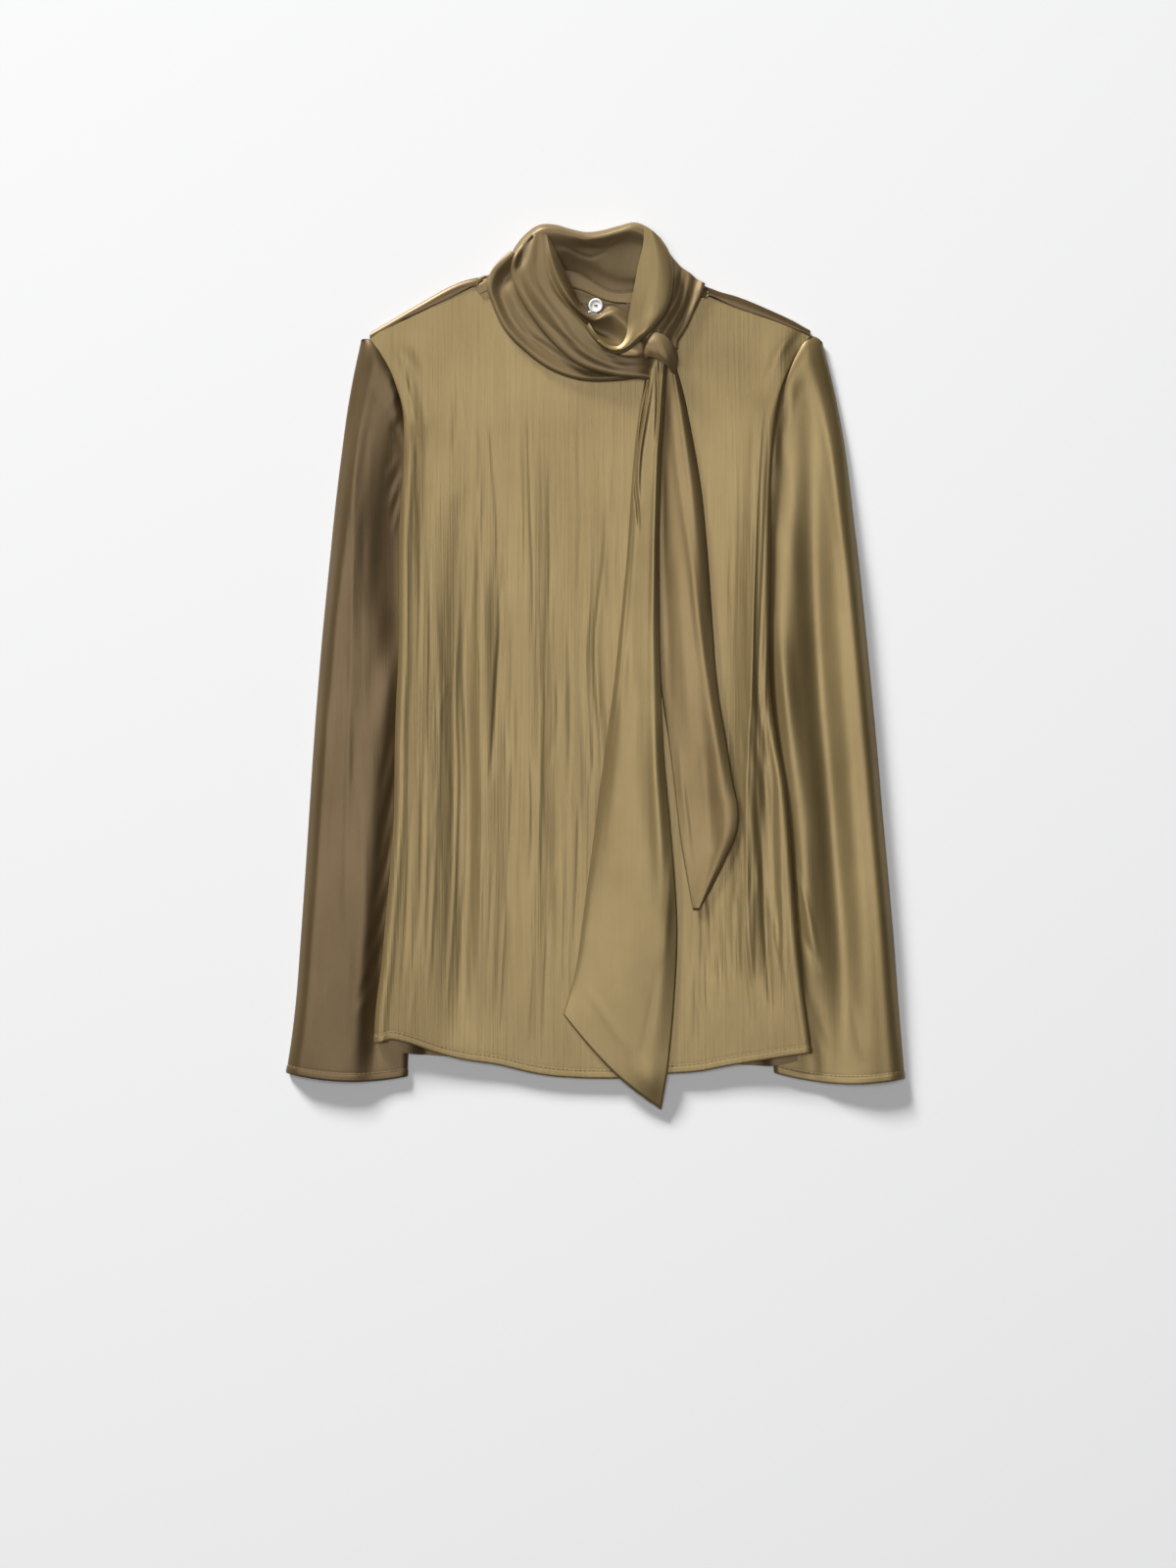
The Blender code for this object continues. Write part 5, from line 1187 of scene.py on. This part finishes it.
def build_body(back, back_present, front, front_present, looks):
    """The back, and the front with its stitched hem."""
    fine, cell = refine(back, down=6.0, across=2.6)
    fine = creased(fine, [], hidden=UNDER_BACK)
    present = back_present[np.ix_(*cell)]
    # The back's satin is darkened and reddened as painted shade
    piece = shell("back_cloth", "back", fine, looks["satin_painted_shade"], THIN, present=present)

    fine, cell = refine(front, down=6.5, across=1.3, finer_down={0: 0.9, 1: 1.4})
    fine = creased(fine, slimmer(FRONT_CREASES, width=0.7, height=0.55) + FRONT_CRINKLES)
    fine, seam_line = hemmed(fine, surface_normals(fine))
    present = front_present[np.ix_(*cell)]
    piece = shell("front_cloth", "front", fine, looks["satin_crinkled"], THIN, present=present)
    stitches = stitch_row("front_stitches", seam_line, looks["thread"])


def build_ties(face, looks):
    """The scarf's two ends on the front's face, the long one over the short one."""
    pile = Pile(TIE_SLOPE)
    pile.lay(face)
    short = strip_grid(TIE_SHORT, pile, TIE_CLOTH, stations=20, steps=7)
    pile.lay(short)
    long = strip_grid(TIE_LONG, pile, TIE_CLOTH, stations=32, steps=8, sag=TIE_LONG_SAG)
    for name, coarse, creases, size, look in (
        # The short end's satin is a little darkened as painted shade
        ("tie_short", short, TIE_SHORT_CREASES, (0.052, 0.46), "satin_light_painted_shade"),
        ("tie_long", long, TIE_LONG_CREASES, (0.072, 0.62), "satin"),
    ):
        fine, _ = refine(coarse, down=3.2, across=1.3)
        piece = shell(name + "_cloth", name, creased(fine, creases), looks[look], TIE_THIN, crisp=False)
    return short, long


def lay_collar(stretches, pile, looks):
    """Stretches of the collar, each over what the pile already holds."""
    for name, (lines, along, rolled, sinks) in stretches.items():
        if name in UNDER_KNOT:
            ahead = UNDER_KNOT[name]
            lines = {line: points + [tuple(np.add(points[-1], ahead))] for line, points in lines.items()}
        grid = loft(lines, along)
        if rolled:
            grid = with_rolled_rim(grid)
        grid = over_pile(grid, pile, CLOTH, rolled) - [0, 0, sinks]
        pile.lay(grid)
        fine, _ = refine(grid, down=1.0, across=1.4)
        fine = creased(fine, slimmer(COLLAR_CREASES, width=0.9, height=0.45))
        # The wraps' satin is darkened as painted shade; the flap keeps the plain satin
        look = "satin" if name == "collar_flap" else "satin_wound_painted_shade"
        piece = shell(name + "_cloth", name, fine, looks[look], TIE_THIN)


def build_button(node, looks):
    """A dished button with a rounded rim on its node's disc, and the thread that sews it on."""
    centre = np.array(BUTTONS[node])
    turn = np.linspace(0, 2 * np.pi, BUTTON_SIDES, endpoint=False)
    cos, sin = np.cos(BUTTON_TILT), np.sin(BUTTON_TILT)
    lean = np.array([[1, 0, 0], [0, cos, -sin], [0, sin, cos]])
    rings = []
    for radius, height in BUTTON_PROFILE:
        level = np.full(BUTTON_SIDES, height)
        rings.append(np.column_stack([radius * np.cos(turn), radius * np.sin(turn), level]))
    verts = np.concatenate(rings) @ lean.T + centre
    new_piece(node + "_disc", verts, tube_faces(len(rings), BUTTON_SIDES), looks["pearl"], node)
    for strand in (-1, 0, 1):
        y, z = SEWN_APART * strand, BUTTON_PROFILE[-1][1] + 0.2
        ends = [centre + lean @ np.array([x, y, z]) for x in (-SEWN_HALF, SEWN_HALF)]
        stitch_row(f"{node}_thread_{strand + 2}", np.array(ends), looks["thread"], length=SEWN_LENGTH)


def set_inputs(node, **values):
    """Sets a node's inputs. Their names have _ for a space."""
    for name, value in values.items():
        node.inputs[name.replace("_", " ")].default_value = value
    return node


def new_material(name, **values):
    """A material, its node tree and its shader with the given inputs."""
    material = bpy.data.materials.new(name)
    material.use_nodes = True
    tree = material.node_tree
    return material, tree, set_inputs(tree.nodes["Principled BSDF"], **values)


def object_place(tree):
    """Where a point lies on its own piece."""
    return tree.nodes.new("ShaderNodeTexCoord").outputs["Object"]


def texture(tree, kind, place, **values):
    """A texture node that takes its place from another node."""
    node = set_inputs(tree.nodes.new("ShaderNodeTex" + kind), **values)
    tree.links.new(place, node.inputs["Vector"])
    return node


def stretched_noise(tree, place, scale, detail, offset):
    """Noise with its own scale along each axis."""
    mapping = set_inputs(tree.nodes.new("ShaderNodeMapping"), Scale=scale, Location=(offset, 0, 0))
    tree.links.new(place, mapping.inputs["Vector"])
    noise = texture(tree, "Noise", mapping.outputs["Vector"], Scale=1.0, Detail=detail, Roughness=0.55)
    return noise.outputs["Fac"]


def coloured(tree, shader, share, colours, places=(0.0, 1.0)):
    """Colours the shader between two colours by a share, which reaches them at the two places."""
    tone = tree.nodes.new("ShaderNodeValToRGB")
    for element, colour, place in zip(tone.color_ramp.elements, colours, places):
        element.position = place
        element.color = colour
    tree.links.new(share, tone.inputs["Fac"])
    tree.links.new(tone.outputs["Color"], shader.inputs["Base Color"])


def times(tree, output, factor, plus=None):
    """Another node's output times a factor, plus a further output."""
    node = tree.nodes.new("ShaderNodeMath")
    node.operation = "MULTIPLY" if plus is None else "MULTIPLY_ADD"
    node.inputs[1].default_value = factor
    tree.links.new(output, node.inputs[0])
    if plus is not None:
        tree.links.new(plus, node.inputs[2])
    return node.outputs[0]


def shade(colour, share):
    """A colour with a share taken of each of its parts."""
    return tuple(c * s for c, s in zip(colour, share)) + (1,)


def thread_material():
    """Twisted sewing thread, a little darker than the satin."""
    material, tree, shader = new_material("thread", Roughness=0.55)
    twist = texture(tree, "Wave", object_place(tree), Scale=1400, Distortion=1.0)
    coloured(tree, shader, twist.outputs["Fac"], (THREAD, shade(THREAD, (1.3, 1.3, 1.3))))
    return material


def satin_material(name, streak_height, streak_share, painted_light_tint, gloss):
    """Olive satin: fine twill and lengthwise streaks under a broad gloss."""
    material, tree, shader = new_material(name, Metallic=gloss[0], Roughness=gloss[1], Specular_IOR_Level=0.4)
    place = object_place(tree)
    streaks = stretched_noise(tree, place, (560, 10, 80), 4, 3.1)
    clouds = stretched_noise(tree, place, (18, 10, 18), 3, 7.7)
    slubs = stretched_noise(tree, place, (1500, 60, 200), 2, 1.3)
    weave = texture(tree, "Wave", place, Scale=900, Distortion=1.5, Detail=1)
    weave.bands_direction = "DIAGONAL"

    share = times(tree, streaks, streak_share, plus=times(tree, clouds, 1 - streak_share))
    # The tint lightens or darkens the satin's colour as painted light and shade
    coloured(tree, shader, share, (shade(SATIN_DARK, painted_light_tint), shade(SATIN_LIGHT, painted_light_tint)), (0.3, 0.7))

    normal = None
    for height, distance, strength in (
        (streaks, streak_height, 0.5),
        (slubs, 0.00008, 0.5),
        (weave.outputs["Fac"], 0.00003, 0.4),
    ):
        bump = set_inputs(tree.nodes.new("ShaderNodeBump"), Distance=distance, Strength=strength)
        tree.links.new(height, bump.inputs["Height"])
        if normal is not None:
            tree.links.new(normal, bump.inputs["Normal"])
        normal = bump.outputs["Normal"]
    tree.links.new(normal, shader.inputs["Normal"])
    return material


def pearl_material():
    """White shell button, clouded a little under a clear gloss."""
    material, tree, shader = new_material("pearl", Roughness=0.22, Coat_Weight=0.5, Coat_Roughness=0.1)
    clouds = texture(tree, "Noise", object_place(tree), Scale=260, Detail=3)
    coloured(tree, shader, clouds.outputs["Fac"], PEARL)
    return material


def floor_material():
    """Plain pale paper."""
    material, _, _ = new_material("floor", Roughness=0.9, Specular_IOR_Level=0.1, Base_Color=FLOOR)
    return material


def add_floor():
    """The table that the garment lies on, a little below it."""
    mesh = bpy.data.meshes.new("floor")
    corners = [(-1, -1), (1, -1), (1, 1), (-1, 1)]
    mesh.from_pydata([(FLOOR_REACH * x, FLOOR_REACH * y, 0) for x, y in corners], [], [(0, 1, 2, 3)])
    mesh.materials.append(floor_material())
    floor = in_scene("floor", mesh)
    floor.location.z = FLOOR_LEVEL


def add_light(name, place, size, power):
    """A lamp that shines at the middle of the garment."""
    light = bpy.data.lights.new(name, "AREA")
    light.shape = "RECTANGLE"
    light.size, light.size_y = size
    light.energy = power
    lamp = in_scene(name, light)
    lamp.location = place
    lamp.rotation_euler = (-Vector(place)).to_track_quat("-Z", "Y").to_euler()


def add_lights():
    """The window's light from one side, a faint lamp overhead and a dim even world."""
    world = bpy.data.worlds.new("Studio")
    bpy.context.scene.world = world
    world.use_nodes = True
    set_inputs(world.node_tree.nodes["Background"], Color=(1, 1, 1, 1), Strength=WORLD_STRENGTH)
    for light in LIGHTS:
        add_light(*light)


def add_camera():
    """A camera straight above, whose picture has the photo's edges."""
    camera = bpy.data.cameras.new("camera")
    camera.sensor_fit = "VERTICAL"
    camera.sensor_height = SENSOR_HEIGHT
    camera.lens = SENSOR_HEIGHT * CAMERA_HEIGHT / FRAME_HEIGHT
    camera.clip_end = 100
    eye = in_scene("camera", camera)
    eye.location = (*FRAME_CENTRE, CAMERA_HEIGHT)
    bpy.context.scene.camera = eye


def main():
    bpy.context.scene.view_settings.view_transform = "Standard"
    looks = {name: satin_material(name, *values) for name, values in SATINS.items()}
    looks["pearl"] = pearl_material()
    looks["thread"] = thread_material()
    build_cloth(looks)
    for name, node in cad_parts.items():
        node.data.materials.clear()
        # The solids take the wraps' satin, darkened as painted shade
        node.data.materials.append(looks["pearl" if name.startswith("button") else "satin_wound_painted_shade"])
    for name in BUTTONS:
        build_button(name, looks)
    add_floor()
    add_lights()
    add_camera()


main()
